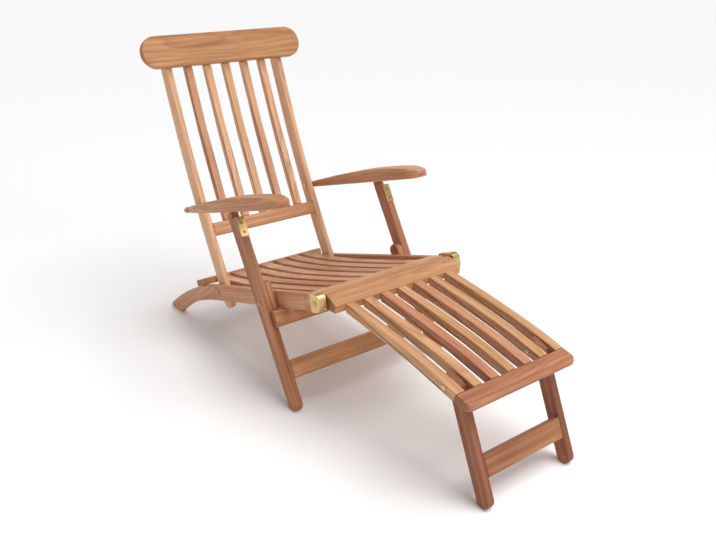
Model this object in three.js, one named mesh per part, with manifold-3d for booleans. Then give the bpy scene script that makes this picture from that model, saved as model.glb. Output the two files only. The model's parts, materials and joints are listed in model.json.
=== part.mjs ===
// Steamer deck chair: a folding slatted teak lounge chair with arms and a hinged footrest.
// Millimetres. X runs from the back to the footrest, Y across, Z up; left is the -Y side.
// The chair stands on z = 0, and its bounding box is centred over the origin.
import * as THREE from "three";
import { mergeVertices } from "three/addons/utils/BufferGeometryUtils.js";
import Module from "manifold-3d";

const wasm = await Module();
wasm.setup();

// Clearances and edges
const GAP = 0.3; // between pieces that are fixed face to face
const SIDE_CLEARANCE = 0.5; // beside a piece that turns
const STILE_CLEARANCE = 1.5; // between the back's stiles and the seat's rails
const BOARD_CLEARANCE = 1.5; // between the front board and the footrest's rear rail
const PIN_CLEARANCE = 0.4; // round a bolt in its hole
const REST_CLEARANCE = 0.7; // between an arm and the leg that it rests on
const SOFTENED = 1.6; // chamfer along the edges of the wood
const OVERRUN = 6; // how far a cut runs past a face
const MERGE_DISTANCE = 0.001; // vertices nearer than this are one

// Front legs
const LEG_LEAN = THREE.MathUtils.degToRad(33.26);
const LEG_PIVOT_UP = 319.5; // from the ground to the seat bolt, along the leg
const LEG_DEPTH = 40.5;
const LEG_THICKNESS = 25.5;
const FOOT_FLAT = 13; // length of the flat worn on each rounded foot
const LEG_NOTCH = 18; // the notch in the leg's front top corner
const LEG_TOP_ROUND = 15; // rounding of the leg's rear top corner

// Seat frame
const SEAT_SLOPE = THREE.MathUtils.degToRad(18.66);
const RAIL_OVERHANG = 6.5; // from the footrest's rear rail out to the side rails' outer faces
const RAIL_DEPTH = 48.5;
const RAIL_THICKNESS = 20.5;
const RAIL_FRONT_CUT = 20; // the cut corner under the rail's front end
const RAIL_BOLT_DEPTH = 27; // from the rail's top down to the leg bolt
const FOOT_JOINT_REACH = 334; // from the leg bolt back to the joint of the rear foot
const FOOT_JOINT_RAKE = 10; // how far the joint leans over the rail's depth
const BACK_BOLT_REACH = 315; // from the leg bolt back to the back's bolt
const BACK_BOLT_DEPTH = 23.2;
const PIN_REACH = 237; // from the leg bolt forward to the footrest pin
const PIN_DEPTH = 18.5;
const BOARD_WIDTH = 50;
const BOARD_THICKNESS = 20;
const BOARD_LIP = 8; // the board's thickness over the rails
const REAR_FOOT_REACH = 788; // from the front leg's foot back to the rear foot's toe
const REAR_FOOT_FLAT = 52;
const REAR_FOOT_ROUND = 9;
const REAR_FOOT_BEND = 156; // from the joint to the bend's control point
const REAR_BAR_REACH = 426; // from the leg bolt back to the middle of the rear crossbar
const REAR_BAR_WIDTH = 42;
const REAR_BAR_THICKNESS = 21;

// Seat slats
const SEAT_SLATS = 7;
const SEAT_SLAT_CLEARANCE = 1.4; // from the nuts of the back's bolts to the outermost slats
const SEAT_SLAT_WIDTH = 38;
const SEAT_SLAT_THICKNESS = 18;
const SEAT_DISH = 5.5; // how far the slats sink below the rails' tops
const SEAT_SLAT_STEP = 3; // the board stands this much over the slats' front ends
// Along the slat from the board to the rear crossbar, and down into the dish
const SEAT_DISH_SHARES = [[0.2, 1], [0.5, 1], [0.68, 0.35], [0.8, -0.6], [0.9, -1.5]];

// Hinge blocks, caps and pins of the footrest
const BLOCK_THICKNESS = 21.7;
const BLOCK_HEIGHT = 46;
const BLOCK_NOSE = 19; // from the pin forward to the block's nose
const BLOCK_TAIL = 45; // from the pin back to the block's rear end
const BLOCK_ROUND = 14;
const CAP_WALL = 2;
const CAP_TAIL = 18; // from the pin back to the cap's rear edge
const PIN_INSET = 34; // how far the pin reaches into the footrest's rear rail

// Bolts
const BOLT_RADIUS = 4;
const BOLT_HEAD_RADIUS = 7.5;
const BOLT_HEAD_HEIGHT = 3.2;
const BOLT_CROWN_SHARE = 0.6; // of the head's radius, flat on top
const BOLT_RIM_SHARE = 0.33; // of the head's height, upright at its rim
const BOLT_NUT_RADIUS = 6.5;
const BOLT_NUT_HEIGHT = 3;
const WASHER_RADIUS = 17.5;
const WASHER_THICKNESS = 3.5;
const BOLT_SIDES = 12;
const HOLE_SIDES = 16;

// Back
const STILE_THICKNESS = 19;
const STILE_DEPTH = 41.5;
const STILE_BOLT_DEPTH = 18.2; // from the stile's front face to the back's bolt
const STILE_TAIL = 55; // below the bolt
const STILE_LOWER_LEAN = THREE.MathUtils.degToRad(32.5);
const STILE_UPPER_LEAN = THREE.MathUtils.degToRad(24.8);
const STILE_BEND_START = 12; // above the bolt
const STILE_LOWER_REACH = 313; // from the bend's start to its control point
const STILE_UPPER_REACH = 255; // from the control point to the bend's end
const STILE_STRAIGHT = 236; // straight part over the bend
const LOWER_RAIL_UP = 176; // from the back's bolt up to the lower back rail
const LOWER_RAIL_HEIGHT = 41;
const LOWER_RAIL_DEPTH = 20;
const BACK_SLATS = 5;
const BACK_SLAT_INSET = 47.1; // from the stiles to the outermost slats
const BACK_SLAT_WIDTH = 24;
const BACK_SLAT_DEPTH = 20;
const BACK_SLAT_SHORT = 12; // the slats end this much below the stiles' tops
const HEADREST_LENGTH = 590;
const HEADREST_HEIGHT = 101;
const HEADREST_THICKNESS = 22;
const HEADREST_PROUD = 18.4; // in front of the stiles' front faces
const HEADREST_RISE = 5; // over the stiles' tops

// Arms
const ARM_BOLT_UP = 275; // from the back's bolt to the arm bolt, along the stile
const ARM_REACH = 541; // from the arm bolt to the arm's nose
const ARM_TAIL = 24; // behind the arm bolt
const ARM_CROWN = 31; // from the arm bolt up to the highest part of the arm
const ARM_UNDER = 8; // from the arm bolt down to the arm's straight underside
const ARM_NOSE_RISE = 24; // from the underside to the top of the rounded nose
const ARM_WIDTH = 67.4;
const ARM_REAR_WIDTH = 43;
const ARM_NOSE_CUT = 46; // length of the cut corners at the nose
const ARM_NOSE_SHARE = 0.42; // width of a cut corner, of its length
const ARM_SOFT_SHARE = 0.2; // of that length, where the cut corners are eased
const ARM_FULL_SHARE = 0.45; // along the arm, where it has its full width
const ARM_CLEARANCE = 2; // between the arm and the back's stile
const ARM_TOP_SHARES = [[0, 0.33], [0.12, 0.52], [0.33, 0.82], [0.53, 1], [0.72, 0.99], [0.885, 0.84]];
const RACK_LENGTH = 104;
const RACK_WIDTH = 21;
const RACK_THICKNESS = 2.4;
const RACK_START = 278; // from the arm bolt to the rack's rear end
const RACK_SLOTS = 5;
const RACK_SLOT = 5;
const RACK_SLOT_DEPTH = 1.4;

// Leg frame
const SPACER_UP = 60; // top of the spacer over the leg bolt
const SPACER_DOWN = 44;
const UPPER_BAR_HEIGHT = 51;
const UPPER_BAR_THICKNESS = 20;
const UPPER_BAR_INSET = 12.5; // from the legs' outer faces to the bar's ends
const LOWER_BAR_UP = 89; // from the ground, along the leg, to the lower crossbar
const LOWER_BAR_HEIGHT = 54;
const LOWER_BAR_THICKNESS = 20;
const CATCH_THICKNESS = 2;
const CATCH_LENGTH = 56;
const CATCH_SCREW_RADIUS = 4;
const CATCH_SCREW_HEIGHT = 1;
const CATCH_SCREW_SHARES = [0.28, 0.76]; // down the plate

// Footrest
const FOOTREST_BAR_WIDTH = 30;
const FOOTREST_INSET = 35.3; // from the rear rail's ends to the side rails
const FOOTREST_SLATS = 5;
const FOOTREST_DEPTH = 25;
const FOOTREST_REACH = 463; // from the pin to the end rail
const FOOTREST_DROP = 64.5;
const FOOTREST_BEND_REACH_SHARE = 0.752;
const FOOTREST_BEND_DROP_SHARE = 0.473;
const REAR_RAIL_LENGTH = 466;
const REAR_RAIL_REACH = 51; // from the pin to the rear rail's front face
const REAR_RAIL_RISE = 1.5; // of the front face's top over the pin
const REAR_RAIL_CROWN = 29; // length of the crown's first leg
const END_RAIL_WIDTH = 50;
const END_RAIL_THICKNESS = 24;
const END_RAIL_TILT = THREE.MathUtils.degToRad(-12.5);
const END_RAIL_NOSE = 9;
const END_RAIL_CORNER = 16;
const FOOT_LEG_LEAN = THREE.MathUtils.degToRad(26.04);
const FOOT_LEG_BACK = 40; // from the end rail back to the footrest leg's bolt
const FOOT_LEG_DEPTH = 39.6;
const FOOT_LEG_RAIL_CLEARANCE = 2.2; // between the leg and the footrest's side rail
const FOOT_LEG_SLAT_CLEARANCE = 5.2; // between the leg and the outermost slat
const FOOT_LEG_TOP = 9.5; // from the bolt up to the leg's top, square to the footrest
const FOOT_LEG_FACET = 21; // length of the leg's top facet
const FOOT_LEG_SLOPE = 24; // depth of the slope in front of the facet
const FOOT_BAR_UP = 74; // from the ground, along the leg, to the crossbar
const FOOT_BAR_HEIGHT = 56;
const FOOT_BAR_THICKNESS = 20;

// Materials
function wood(colour) {
  return new THREE.MeshStandardMaterial({ color: colour, roughness: 0.62, metalness: 0 });
}
const TEAK = wood(0xc98f62);
const PALE_TEAK = wood(0xd9a477);
const DARK_TEAK = wood(0xb37850);
const BRASS = new THREE.MeshStandardMaterial({ color: 0xc9a45f, roughness: 0.35, metalness: 1 });

// Places in the side view are 2D vectors: x forward, y up. A frame is an origin and a turn.
const at = (x, z) => new THREE.Vector2(x, z);
const ORIGIN = at(0, 0);
const toward = (angle, length = 1) => at(Math.cos(angle) * length, Math.sin(angle) * length);
const place = (frame, p) => p.clone().rotateAround(ORIGIN, frame.turn).add(frame.origin);
const local = (frame, p) => p.clone().sub(frame.origin).rotateAround(ORIGIN, -frame.turn);

// The frames of the moving parts, from the front legs' feet upwards
const legBolt = toward(Math.PI / 2 + LEG_LEAN, LEG_PIVOT_UP);
const legFrame = { origin: legBolt, turn: LEG_LEAN };
const seatFrame = {
  origin: legBolt.clone().add(toward(SEAT_SLOPE + Math.PI / 2, RAIL_BOLT_DEPTH)),
  turn: SEAT_SLOPE,
};
const backBolt = place(seatFrame, at(-BACK_BOLT_REACH, -BACK_BOLT_DEPTH));
const backFrame = { origin: backBolt, turn: 0 };
const pin = place(seatFrame, at(PIN_REACH, -PIN_DEPTH));
const footrestFrame = { origin: pin, turn: 0 };

// Faces across the chair, outwards and inwards from the ends of the footrest's rear rail
const railOuter = REAR_RAIL_LENGTH / 2 + RAIL_OVERHANG;
const railInner = railOuter - RAIL_THICKNESS;
const stileOuter = railInner - STILE_CLEARANCE;
const stileInner = stileOuter - STILE_THICKNESS;
const backWasherInner = stileInner - GAP - WASHER_THICKNESS;
const backNutInner = backWasherInner - BOLT_NUT_HEIGHT;
const blockInner = railOuter + SIDE_CLEARANCE;
const blockOuter = blockInner + BLOCK_THICKNESS;
const legInner = blockOuter + GAP;
const legOuter = legInner + LEG_THICKNESS;
const armInner = stileOuter + ARM_CLEARANCE;

// A bar's side outline along a path: `left` and `right` of it, with ends that bulge when asked.
function alongPath(path, length, side) {
  const share = THREE.MathUtils.clamp(length / path.getLength(), 0, 1);
  const point = path.getPointAt(share);
  const tangent = path.getTangentAt(share);
  return point.add(at(-tangent.y, tangent.x).multiplyScalar(side));
}

function bulge(from, to, depth, steps = 6) {
  const middle = from.clone().add(to).multiplyScalar(0.5);
  const half = from.clone().sub(middle);
  const out = at(-half.y, half.x).normalize().multiplyScalar(depth);
  return Array.from({ length: steps - 1 }, (_, i) => {
    const angle = (Math.PI * (i + 1)) / steps;
    const across = half.clone().multiplyScalar(Math.cos(angle));
    return middle.clone().add(across).add(out.clone().multiplyScalar(Math.sin(angle)));
  });
}

function ribbon({ path, start, end, left, right, steps = 1, startBulge = 0, endBulge = 0 }) {
  const lengths = Array.from({ length: steps + 1 }, (_, i) => start + ((end - start) * i) / steps);
  const leftSide = lengths.map((length) => alongPath(path, length, left)).reverse();
  const rightSide = lengths.map((length) => alongPath(path, length, -right));
  const points = [...leftSide];
  if (startBulge) points.push(...bulge(leftSide.at(-1), rightSide[0], startBulge));
  points.push(...rightSide);
  if (endBulge) points.push(...bulge(rightSide.at(-1), leftSide[0], endBulge));
  return points;
}

function straight(from, to) {
  const path = new THREE.Path();
  path.moveTo(from.x, from.y);
  path.lineTo(to.x, to.y);
  return path;
}

function rectangle(x0, x1, z0, z1) {
  return [at(x0, z0), at(x1, z0), at(x1, z1), at(x0, z1)];
}

// A side outline given its thickness across the chair, with softened edges and round holes
function plank(outline, y0, y1, holes = [], soften = SOFTENED) {
  const shape = new THREE.Shape(outline);
  for (const hole of holes) {
    const radius = BOLT_RADIUS + PIN_CLEARANCE;
    const turns = Array.from({ length: HOLE_SIDES }, (_, i) => (2 * Math.PI * i) / HOLE_SIDES);
    shape.holes.push(new THREE.Path(turns.map((turn) => hole.clone().add(toward(turn, radius)))));
  }
  const geometry = new THREE.ExtrudeGeometry(shape, {
    depth: y1 - y0 - 2 * soften,
    bevelEnabled: soften > 0,
    bevelThickness: soften,
    bevelSize: soften,
    bevelOffset: -soften,
    bevelSegments: 1,
    steps: 1,
  });
  return geometry.rotateX(Math.PI / 2).translate(0, y1 - soften, 0);
}

// A top view outline (x, y) raised from z0 to z1
function slab(outline, z0, z1) {
  const shape = new THREE.Shape(outline);
  const geometry = new THREE.ExtrudeGeometry(shape, { depth: z1 - z0, bevelEnabled: false });
  return geometry.translate(0, 0, z0);
}

function block(x0, x1, y0, y1, z0, z1) {
  const geometry = new THREE.BoxGeometry(x1 - x0, y1 - y0, z1 - z0);
  return geometry.translate((x0 + x1) / 2, (y0 + y1) / 2, (z0 + z1) / 2);
}

// Joining and cutting closed geometries
function solid(geometry) {
  const bare = geometry.clone();
  bare.deleteAttribute("normal");
  bare.deleteAttribute("uv");
  const merged = mergeVertices(bare, MERGE_DISTANCE);
  return new wasm.Manifold(
    new wasm.Mesh({
      numProp: 3,
      vertProperties: merged.attributes.position.array,
      triVerts: new Uint32Array(merged.index.array),
    }),
  );
}

function geometryOf(manifold) {
  const { numProp, numVert, vertProperties, triVerts } = manifold.getMesh();
  const positions = new Float32Array(numVert * 3);
  for (let i = 0; i < numVert; i += 1) {
    positions.set(vertProperties.subarray(i * numProp, i * numProp + 3), i * 3);
  }
  const geometry = new THREE.BufferGeometry();
  geometry.setAttribute("position", new THREE.BufferAttribute(positions, 3));
  geometry.setIndex(new THREE.BufferAttribute(triVerts, 1));
  const faceted = geometry.toNonIndexed();
  faceted.computeVertexNormals();
  return faceted;
}

const cut = (geometry, ...tools) =>
  geometryOf(tools.reduce((body, tool) => body.subtract(solid(tool)), solid(geometry)));
const join = (geometry, ...others) =>
  geometryOf(others.reduce((body, other) => body.add(solid(other)), solid(geometry)));
const common = (geometry, other) => geometryOf(solid(geometry).intersect(solid(other)));

// Groups: one for each body that moves by itself
const chair = new THREE.Group();

function bodyGroup(frame) {
  const group = new THREE.Group();
  group.position.set(frame.origin.x, 0, frame.origin.y);
  group.rotation.y = -frame.turn;
  chair.add(group);
  return group;
}

function add(group, name, geometry, material) {
  const mesh = new THREE.Mesh(geometry, material);
  mesh.name = name;
  group.add(mesh);
  return mesh;
}

// The middle of bar i of `count` bars, spread evenly so that the outermost end at -outer and outer
function spread(i, count, outer, width) {
  return (outer - width / 2) * ((2 * i) / (count - 1) - 1);
}

// The same piece on both sides: make(y0, y1) is given its faces, ordered from low to high
function addPair(group, name, inner, outer, material, make) {
  add(group, `${name}_left`, make(-outer, -inner, -1), material);
  add(group, `${name}_right`, make(inner, outer, 1), material);
}

// A bolt along Y with a domed head outside and a nut inside; side is -1 on the left.
// Each washer is given by the places along Y where it starts and ends, the nut's washer first.
function bolt(inner, outer, side, { nut = true, washers = [] }) {
  const nutEnd = washers.length ? washers[0][0] : inner - GAP;
  const under = outer + GAP;
  const crown = under + BOLT_HEAD_HEIGHT;
  const steps = [
    ...(nut ? [[BOLT_NUT_RADIUS, nutEnd]] : []),
    ...washers.flatMap(([from, to]) => [[BOLT_RADIUS, from], [WASHER_RADIUS, to]]),
    [BOLT_RADIUS, under],
    [BOLT_HEAD_RADIUS, under + BOLT_HEAD_HEIGHT * BOLT_RIM_SHARE],
  ];
  let from = nut ? nutEnd - BOLT_NUT_HEIGHT : inner;
  const profile = [at(0, from)];
  for (const [radius, to] of steps) {
    if (to > from) profile.push(at(radius, from), at(radius, to));
    from = to;
  }
  profile.push(at(BOLT_HEAD_RADIUS * BOLT_CROWN_SHARE, crown), at(0, crown));
  const geometry = new THREE.LatheGeometry(profile, BOLT_SIDES);
  return side < 0 ? geometry.rotateX(Math.PI) : geometry;
}

function addBolts(group, name, where, inner, outer, extras = {}) {
  for (const [label, side] of [["left", -1], ["right", 1]]) {
    const mesh = add(group, `${name}_${label}`, bolt(inner, outer, side, extras), BRASS);
    mesh.position.set(where.x, 0, where.y);
  }
}

// A rounded foot of a leg that stands on the ground: the points of its end in the leg's frame
function roundedFoot(frame, depth) {
  const radius = depth / 2;
  const flat = Math.asin(FOOT_FLAT / 2 / radius);
  const rise = radius * Math.cos(flat);
  const lean = frame.turn;
  const centre = at(0, -(frame.origin.y - rise) / Math.cos(lean));
  const down = -Math.PI / 2 - lean;
  const arc = (from, to, steps) =>
    Array.from({ length: steps + 1 }, (_, i) =>
      centre.clone().add(toward(from + ((to - from) * i) / steps, radius)),
    );
  return [...arc(-Math.PI, down - flat, 3), ...arc(down + flat, 0, 6)];
}

// Seat frame
const seat = bodyGroup(seatFrame);
const pinInSeat = at(PIN_REACH, -PIN_DEPTH);
const backBoltInSeat = at(-BACK_BOLT_REACH, -BACK_BOLT_DEPTH);
const legBoltInSeat = at(0, -RAIL_BOLT_DEPTH);
const boardFront = PIN_REACH - PIN_DEPTH - BOARD_CLEARANCE;
const boardBack = boardFront - BOARD_WIDTH;

function seatRail(y0, y1) {
  const outline = [
    at(-FOOT_JOINT_REACH - FOOT_JOINT_RAKE + GAP, -RAIL_DEPTH),
    at(boardFront - RAIL_FRONT_CUT, -RAIL_DEPTH),
    at(boardFront, -RAIL_DEPTH + RAIL_FRONT_CUT),
    at(boardFront, -BOARD_LIP - GAP),
    at(boardBack - GAP, -BOARD_LIP - GAP),
    at(boardBack - GAP, 0),
    at(-FOOT_JOINT_REACH + GAP, 0),
  ];
  return plank(outline, y0, y1, [legBoltInSeat, backBoltInSeat]);
}
addPair(seat, "seat_rail", railInner, railOuter, TEAK, seatRail);

function curvePoints(a, b, c, steps) {
  return new THREE.QuadraticBezierCurve(a, b, c).getPoints(steps);
}

// The rear foot's corners on the ground, seen in the seat's frame
const toe = local(seatFrame, at(-REAR_FOOT_REACH, REAR_FOOT_ROUND));
const flatBack = local(seatFrame, at(-REAR_FOOT_REACH + REAR_FOOT_ROUND, 0));
const flatFront = local(seatFrame, at(-REAR_FOOT_REACH + REAR_FOOT_ROUND + REAR_FOOT_FLAT, 0));
const heel = local(
  seatFrame,
  at(-REAR_FOOT_REACH + 2 * REAR_FOOT_ROUND + REAR_FOOT_FLAT, REAR_FOOT_ROUND),
);
const footTop = new THREE.QuadraticBezierCurve(
  at(-FOOT_JOINT_REACH, 0),
  at(-FOOT_JOINT_REACH - REAR_FOOT_BEND, 0),
  toe,
);

function rearFoot(y0, y1) {
  const jointFoot = at(-FOOT_JOINT_REACH - FOOT_JOINT_RAKE, -RAIL_DEPTH);
  const bend = at(-FOOT_JOINT_REACH - REAR_FOOT_BEND, -RAIL_DEPTH);
  const outline = [
    ...footTop.getPoints(9),
    flatBack,
    flatFront,
    ...curvePoints(heel, bend, jointFoot, 7),
  ];
  return plank(outline, y0, y1);
}
addPair(seat, "rear_foot", railInner, railOuter, TEAK, rearFoot);

// The rear crossbar lies on the feet's curved tops
const HALVINGS = 30;
function shareAtReach(curve, reach) {
  let [low, high] = [0, 1];
  for (let i = 0; i < HALVINGS; i += 1) {
    const middle = (low + high) / 2;
    if (curve.getPoint(middle).x > -reach) low = middle;
    else high = middle;
  }
  return low;
}
const barShare = shareAtReach(footTop, REAR_BAR_REACH);
const barSeat = footTop.getPoint(barShare);
const barTangent = footTop.getTangent(barShare).negate();
const barFrame = { origin: barSeat, turn: barTangent.angle() };
const barOutline = rectangle(-REAR_BAR_WIDTH / 2, REAR_BAR_WIDTH / 2, GAP, REAR_BAR_THICKNESS);
const barCorners = barOutline.map((p) => place(barFrame, p));
add(seat, "rear_crossbar", plank(barCorners, -railOuter, railOuter), TEAK);

function frontBoard() {
  const nose = BOARD_LIP / 2;
  const outline = [
    at(boardBack, -BOARD_THICKNESS),
    at(boardFront, -BOARD_THICKNESS),
    at(boardFront, -nose),
    at(boardFront - nose / 3, -nose / 3),
    at(boardFront - nose, 0),
    at(boardBack, 0),
  ];
  const board = plank(outline, -railOuter, railOuter);
  const under = [boardBack - OVERRUN, boardFront + OVERRUN];
  const ends = [-1, 1].map((side) => {
    const faces = [side * (railInner - GAP), side * (railOuter + OVERRUN)].sort((a, b) => a - b);
    return block(...under, ...faces, -RAIL_DEPTH, -BOARD_LIP);
  });
  return cut(board, ...ends);
}
add(seat, "front_board", frontBoard(), PALE_TEAK);

// The dished slats run from the board to the rear crossbar
const slatFront = at(boardBack - GAP, -SEAT_SLAT_STEP);
const slatRear = place(barFrame, at(REAR_BAR_WIDTH / 2 + GAP, REAR_BAR_THICKNESS));
const slatLine = new THREE.Path();
slatLine.moveTo(slatRear.x, slatRear.y);
slatLine.splineThru([
  ...SEAT_DISH_SHARES.map(([along, dip]) =>
    at(THREE.MathUtils.lerp(slatFront.x, slatRear.x, along), -dip * SEAT_DISH),
  ).reverse(),
  slatFront,
]);
const slatSteps = 12;
const slatOutline = ribbon({
  path: slatLine,
  start: 0,
  end: slatLine.getLength(),
  left: 0,
  right: SEAT_SLAT_THICKNESS,
  steps: slatSteps,
});
// Both ends are cut to the faces that they meet
const slatUnder = REAR_BAR_THICKNESS - SEAT_SLAT_THICKNESS;
slatOutline[slatSteps + 1] = place(barFrame, at(REAR_BAR_WIDTH / 2 + GAP, slatUnder));
slatOutline[2 * slatSteps + 1] = at(slatFront.x, slatFront.y - SEAT_SLAT_THICKNESS);
for (let i = 0; i < SEAT_SLATS; i += 1) {
  const slat = plank(slatOutline, -SEAT_SLAT_WIDTH / 2, SEAT_SLAT_WIDTH / 2);
  const mesh = add(seat, `seat_slat_${i + 1}`, slat, i % 3 === 1 ? TEAK : PALE_TEAK);
  mesh.position.y = spread(i, SEAT_SLATS, backNutInner - SEAT_SLAT_CLEARANCE, SEAT_SLAT_WIDTH);
}

// Hinge blocks with their brass caps, and the pins of the footrest
function noseOutline(tail, grow) {
  const top = pinInSeat.y + BLOCK_HEIGHT / 2 + grow;
  const bottom = pinInSeat.y - BLOCK_HEIGHT / 2 - grow;
  const radius = BLOCK_ROUND + grow;
  const front = pinInSeat.x + BLOCK_NOSE + grow - radius;
  const corner = (z, from) =>
    [0, 1, 2, 3].map((i) => at(front, z).add(toward(from + (Math.PI * i) / 6, radius)));
  return [
    at(pinInSeat.x - tail, bottom),
    ...corner(bottom + radius, -Math.PI / 2),
    ...corner(top - radius, 0),
    at(pinInSeat.x - tail, top),
  ];
}

function hingeBlock(y0, y1) {
  return plank(noseOutline(BLOCK_TAIL, 0), y0, y1, [pinInSeat]);
}
addPair(seat, "hinge_block", blockInner, blockOuter, TEAK, hingeBlock);

function hingeCap(y0, y1) {
  const wall = CAP_WALL;
  const cap = plank(noseOutline(CAP_TAIL, GAP + wall), y0, y1, [pinInSeat], wall / 4);
  return cut(cap, plank(noseOutline(CAP_TAIL + OVERRUN, GAP), y0 + wall, y1 - wall, [], 0));
}
const capOuter = blockOuter + GAP + CAP_WALL;
addPair(seat, "hinge_cap", blockInner - GAP - CAP_WALL, capOuter, BRASS, hingeCap);
addBolts(seat, "footrest_pin", pinInSeat, REAR_RAIL_LENGTH / 2 - PIN_INSET, capOuter, { nut: false });
addBolts(seat, "leg_bolt", legBoltInSeat, railInner, legOuter);

// The bolts that the back turns on
const backBolts = bodyGroup(backFrame);
const backWashers = [
  [backWasherInner, stileInner - GAP],
  [stileOuter + GAP, railInner - GAP],
];
addBolts(backBolts, "back_bolt", ORIGIN, stileInner, railOuter, { washers: backWashers });

// Back: the stiles' front line runs up from the tail, round the bend and straight to the top
const back = bodyGroup(backFrame);
const lowerUp = toward(Math.PI / 2 + STILE_LOWER_LEAN);
const upperUp = toward(Math.PI / 2 + STILE_UPPER_LEAN);
const besideBolt = toward(STILE_LOWER_LEAN, STILE_BOLT_DEPTH);
const onward = (from, direction, length) => from.clone().addScaledVector(direction, length);
const bendStart = onward(besideBolt, lowerUp, STILE_BEND_START);
const bendMiddle = onward(bendStart, lowerUp, STILE_LOWER_REACH);
const bendEnd = onward(bendMiddle, upperUp, STILE_UPPER_REACH);
const stileTop = onward(bendEnd, upperUp, STILE_STRAIGHT);
const stileLine = new THREE.Path();
const stileTail = onward(besideBolt, lowerUp, -STILE_TAIL);
stileLine.moveTo(stileTail.x, stileTail.y);
stileLine.lineTo(bendStart.x, bendStart.y);
stileLine.quadraticCurveTo(bendMiddle.x, bendMiddle.y, bendEnd.x, bendEnd.y);
stileLine.lineTo(stileTop.x, stileTop.y);
const stileLength = stileLine.getLength();
const headrestTop = stileLength + HEADREST_RISE;
const housing = HEADREST_THICKNESS - HEADREST_PROUD + GAP;

function evenly(from, to, steps) {
  return Array.from({ length: steps + 1 }, (_, i) => from + ((to - from) * i) / steps);
}

// An upright with its front on the stiles' front line, stepped back behind the headrest
function uprightOutline(start, end, depth, tailBulge) {
  const step = headrestTop - HEADREST_HEIGHT - GAP;
  const rear = evenly(start, end, 10).map((length) => alongPath(stileLine, length, depth));
  const front = evenly(start, step, 9).map((length) => alongPath(stileLine, length, 0));
  const tail = tailBulge ? bulge(rear[0], front[0], tailBulge) : [];
  const behind = [step, end].map((length) => alongPath(stileLine, length, housing));
  return [...rear.reverse(), ...tail, ...front, ...behind];
}

const armBoltInBack = alongPath(stileLine, STILE_TAIL + ARM_BOLT_UP, STILE_DEPTH / 2);
const stileRound = STILE_DEPTH / 2;
const stileOutline = uprightOutline(stileRound, stileLength, STILE_DEPTH, stileRound);
const stile = (y0, y1) => plank(stileOutline, y0, y1, [ORIGIN, armBoltInBack]);
addPair(back, "back_stile", stileInner, stileOuter, TEAK, stile);

const lowerRailStart = STILE_TAIL + LOWER_RAIL_UP;
const lowerRailOutline = ribbon({
  path: stileLine,
  start: lowerRailStart,
  end: lowerRailStart + LOWER_RAIL_HEIGHT,
  left: LOWER_RAIL_DEPTH,
  right: 0,
});
const lowerRailEnd = stileInner - GAP;
add(back, "lower_back_rail", plank(lowerRailOutline, -lowerRailEnd, lowerRailEnd), TEAK);

const backSlatStart = lowerRailStart + LOWER_RAIL_HEIGHT + GAP;
const backSlatEnd = stileLength - BACK_SLAT_SHORT;
const backSlatOutline = uprightOutline(backSlatStart, backSlatEnd, BACK_SLAT_DEPTH, 0);
for (let i = 0; i < BACK_SLATS; i += 1) {
  const slat = plank(backSlatOutline, -BACK_SLAT_WIDTH / 2, BACK_SLAT_WIDTH / 2);
  const mesh = add(back, `back_slat_${i + 1}`, slat, i % 2 ? PALE_TEAK : TEAK);
  mesh.position.y = spread(i, BACK_SLATS, stileInner - BACK_SLAT_INSET, BACK_SLAT_WIDTH);
}

function headrestGeometry() {
  const radius = HEADREST_HEIGHT / 2 - SOFTENED;
  const half = HEADREST_LENGTH / 2 - HEADREST_HEIGHT / 2;
  const shape = new THREE.Shape();
  shape.absarc(half, 0, radius, -Math.PI / 2, Math.PI / 2);
  shape.absarc(-half, 0, radius, Math.PI / 2, (Math.PI * 3) / 2);
  const geometry = new THREE.ExtrudeGeometry(shape, {
    depth: HEADREST_THICKNESS - 2 * SOFTENED,
    curveSegments: 12,
    bevelThickness: SOFTENED,
    bevelSize: SOFTENED,
    bevelSegments: 1,
  });
  return geometry.translate(0, 0, SOFTENED - HEADREST_THICKNESS);
}
const headrest = add(back, "headrest", headrestGeometry(), DARK_TEAK);
const headrestMiddle = headrestTop - HEADREST_HEIGHT / 2 - stileLength;
const headrestFace = onward(stileTop, upperUp, headrestMiddle)
  .add(toward(STILE_UPPER_LEAN, HEADREST_PROUD));
headrest.position.set(headrestFace.x, 0, headrestFace.y);
headrest.setRotationFromMatrix(
  new THREE.Matrix4().makeBasis(
    new THREE.Vector3(0, 1, 0),
    new THREE.Vector3(upperUp.x, 0, upperUp.y),
    new THREE.Vector3(Math.cos(STILE_UPPER_LEAN), 0, Math.sin(STILE_UPPER_LEAN)),
  ),
);

// The arms' bolts and the arms, each side a body of its own
const armFrame = { origin: place(backFrame, armBoltInBack), turn: SEAT_SLOPE };
const armRearOuter = armInner + ARM_REAR_WIDTH;
const armOuter = armInner + ARM_WIDTH;
addBolts(bodyGroup({ origin: armFrame.origin, turn: 0 }), "arm_bolt", ORIGIN, stileInner, armRearOuter);

function armSide() {
  const under = -ARM_UNDER;
  const noseTop = under + ARM_NOSE_RISE;
  const shape = new THREE.Path();
  shape.moveTo(-ARM_TAIL + ARM_UNDER, under);
  shape.lineTo(ARM_REACH - ARM_NOSE_RISE / 2, under);
  shape.quadraticCurveTo(ARM_REACH, under, ARM_REACH, under + ARM_NOSE_RISE / 2);
  shape.quadraticCurveTo(ARM_REACH, noseTop, ARM_REACH - ARM_NOSE_RISE / 2, noseTop);
  const crown = ARM_TOP_SHARES.map(([along, up]) => at(along * ARM_REACH, up * ARM_CROWN));
  shape.splineThru(crown.reverse());
  shape.quadraticCurveTo(-ARM_TAIL, 0, -ARM_TAIL + ARM_UNDER, under);
  return shape.getPoints(5).slice(0, -1);
}

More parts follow.
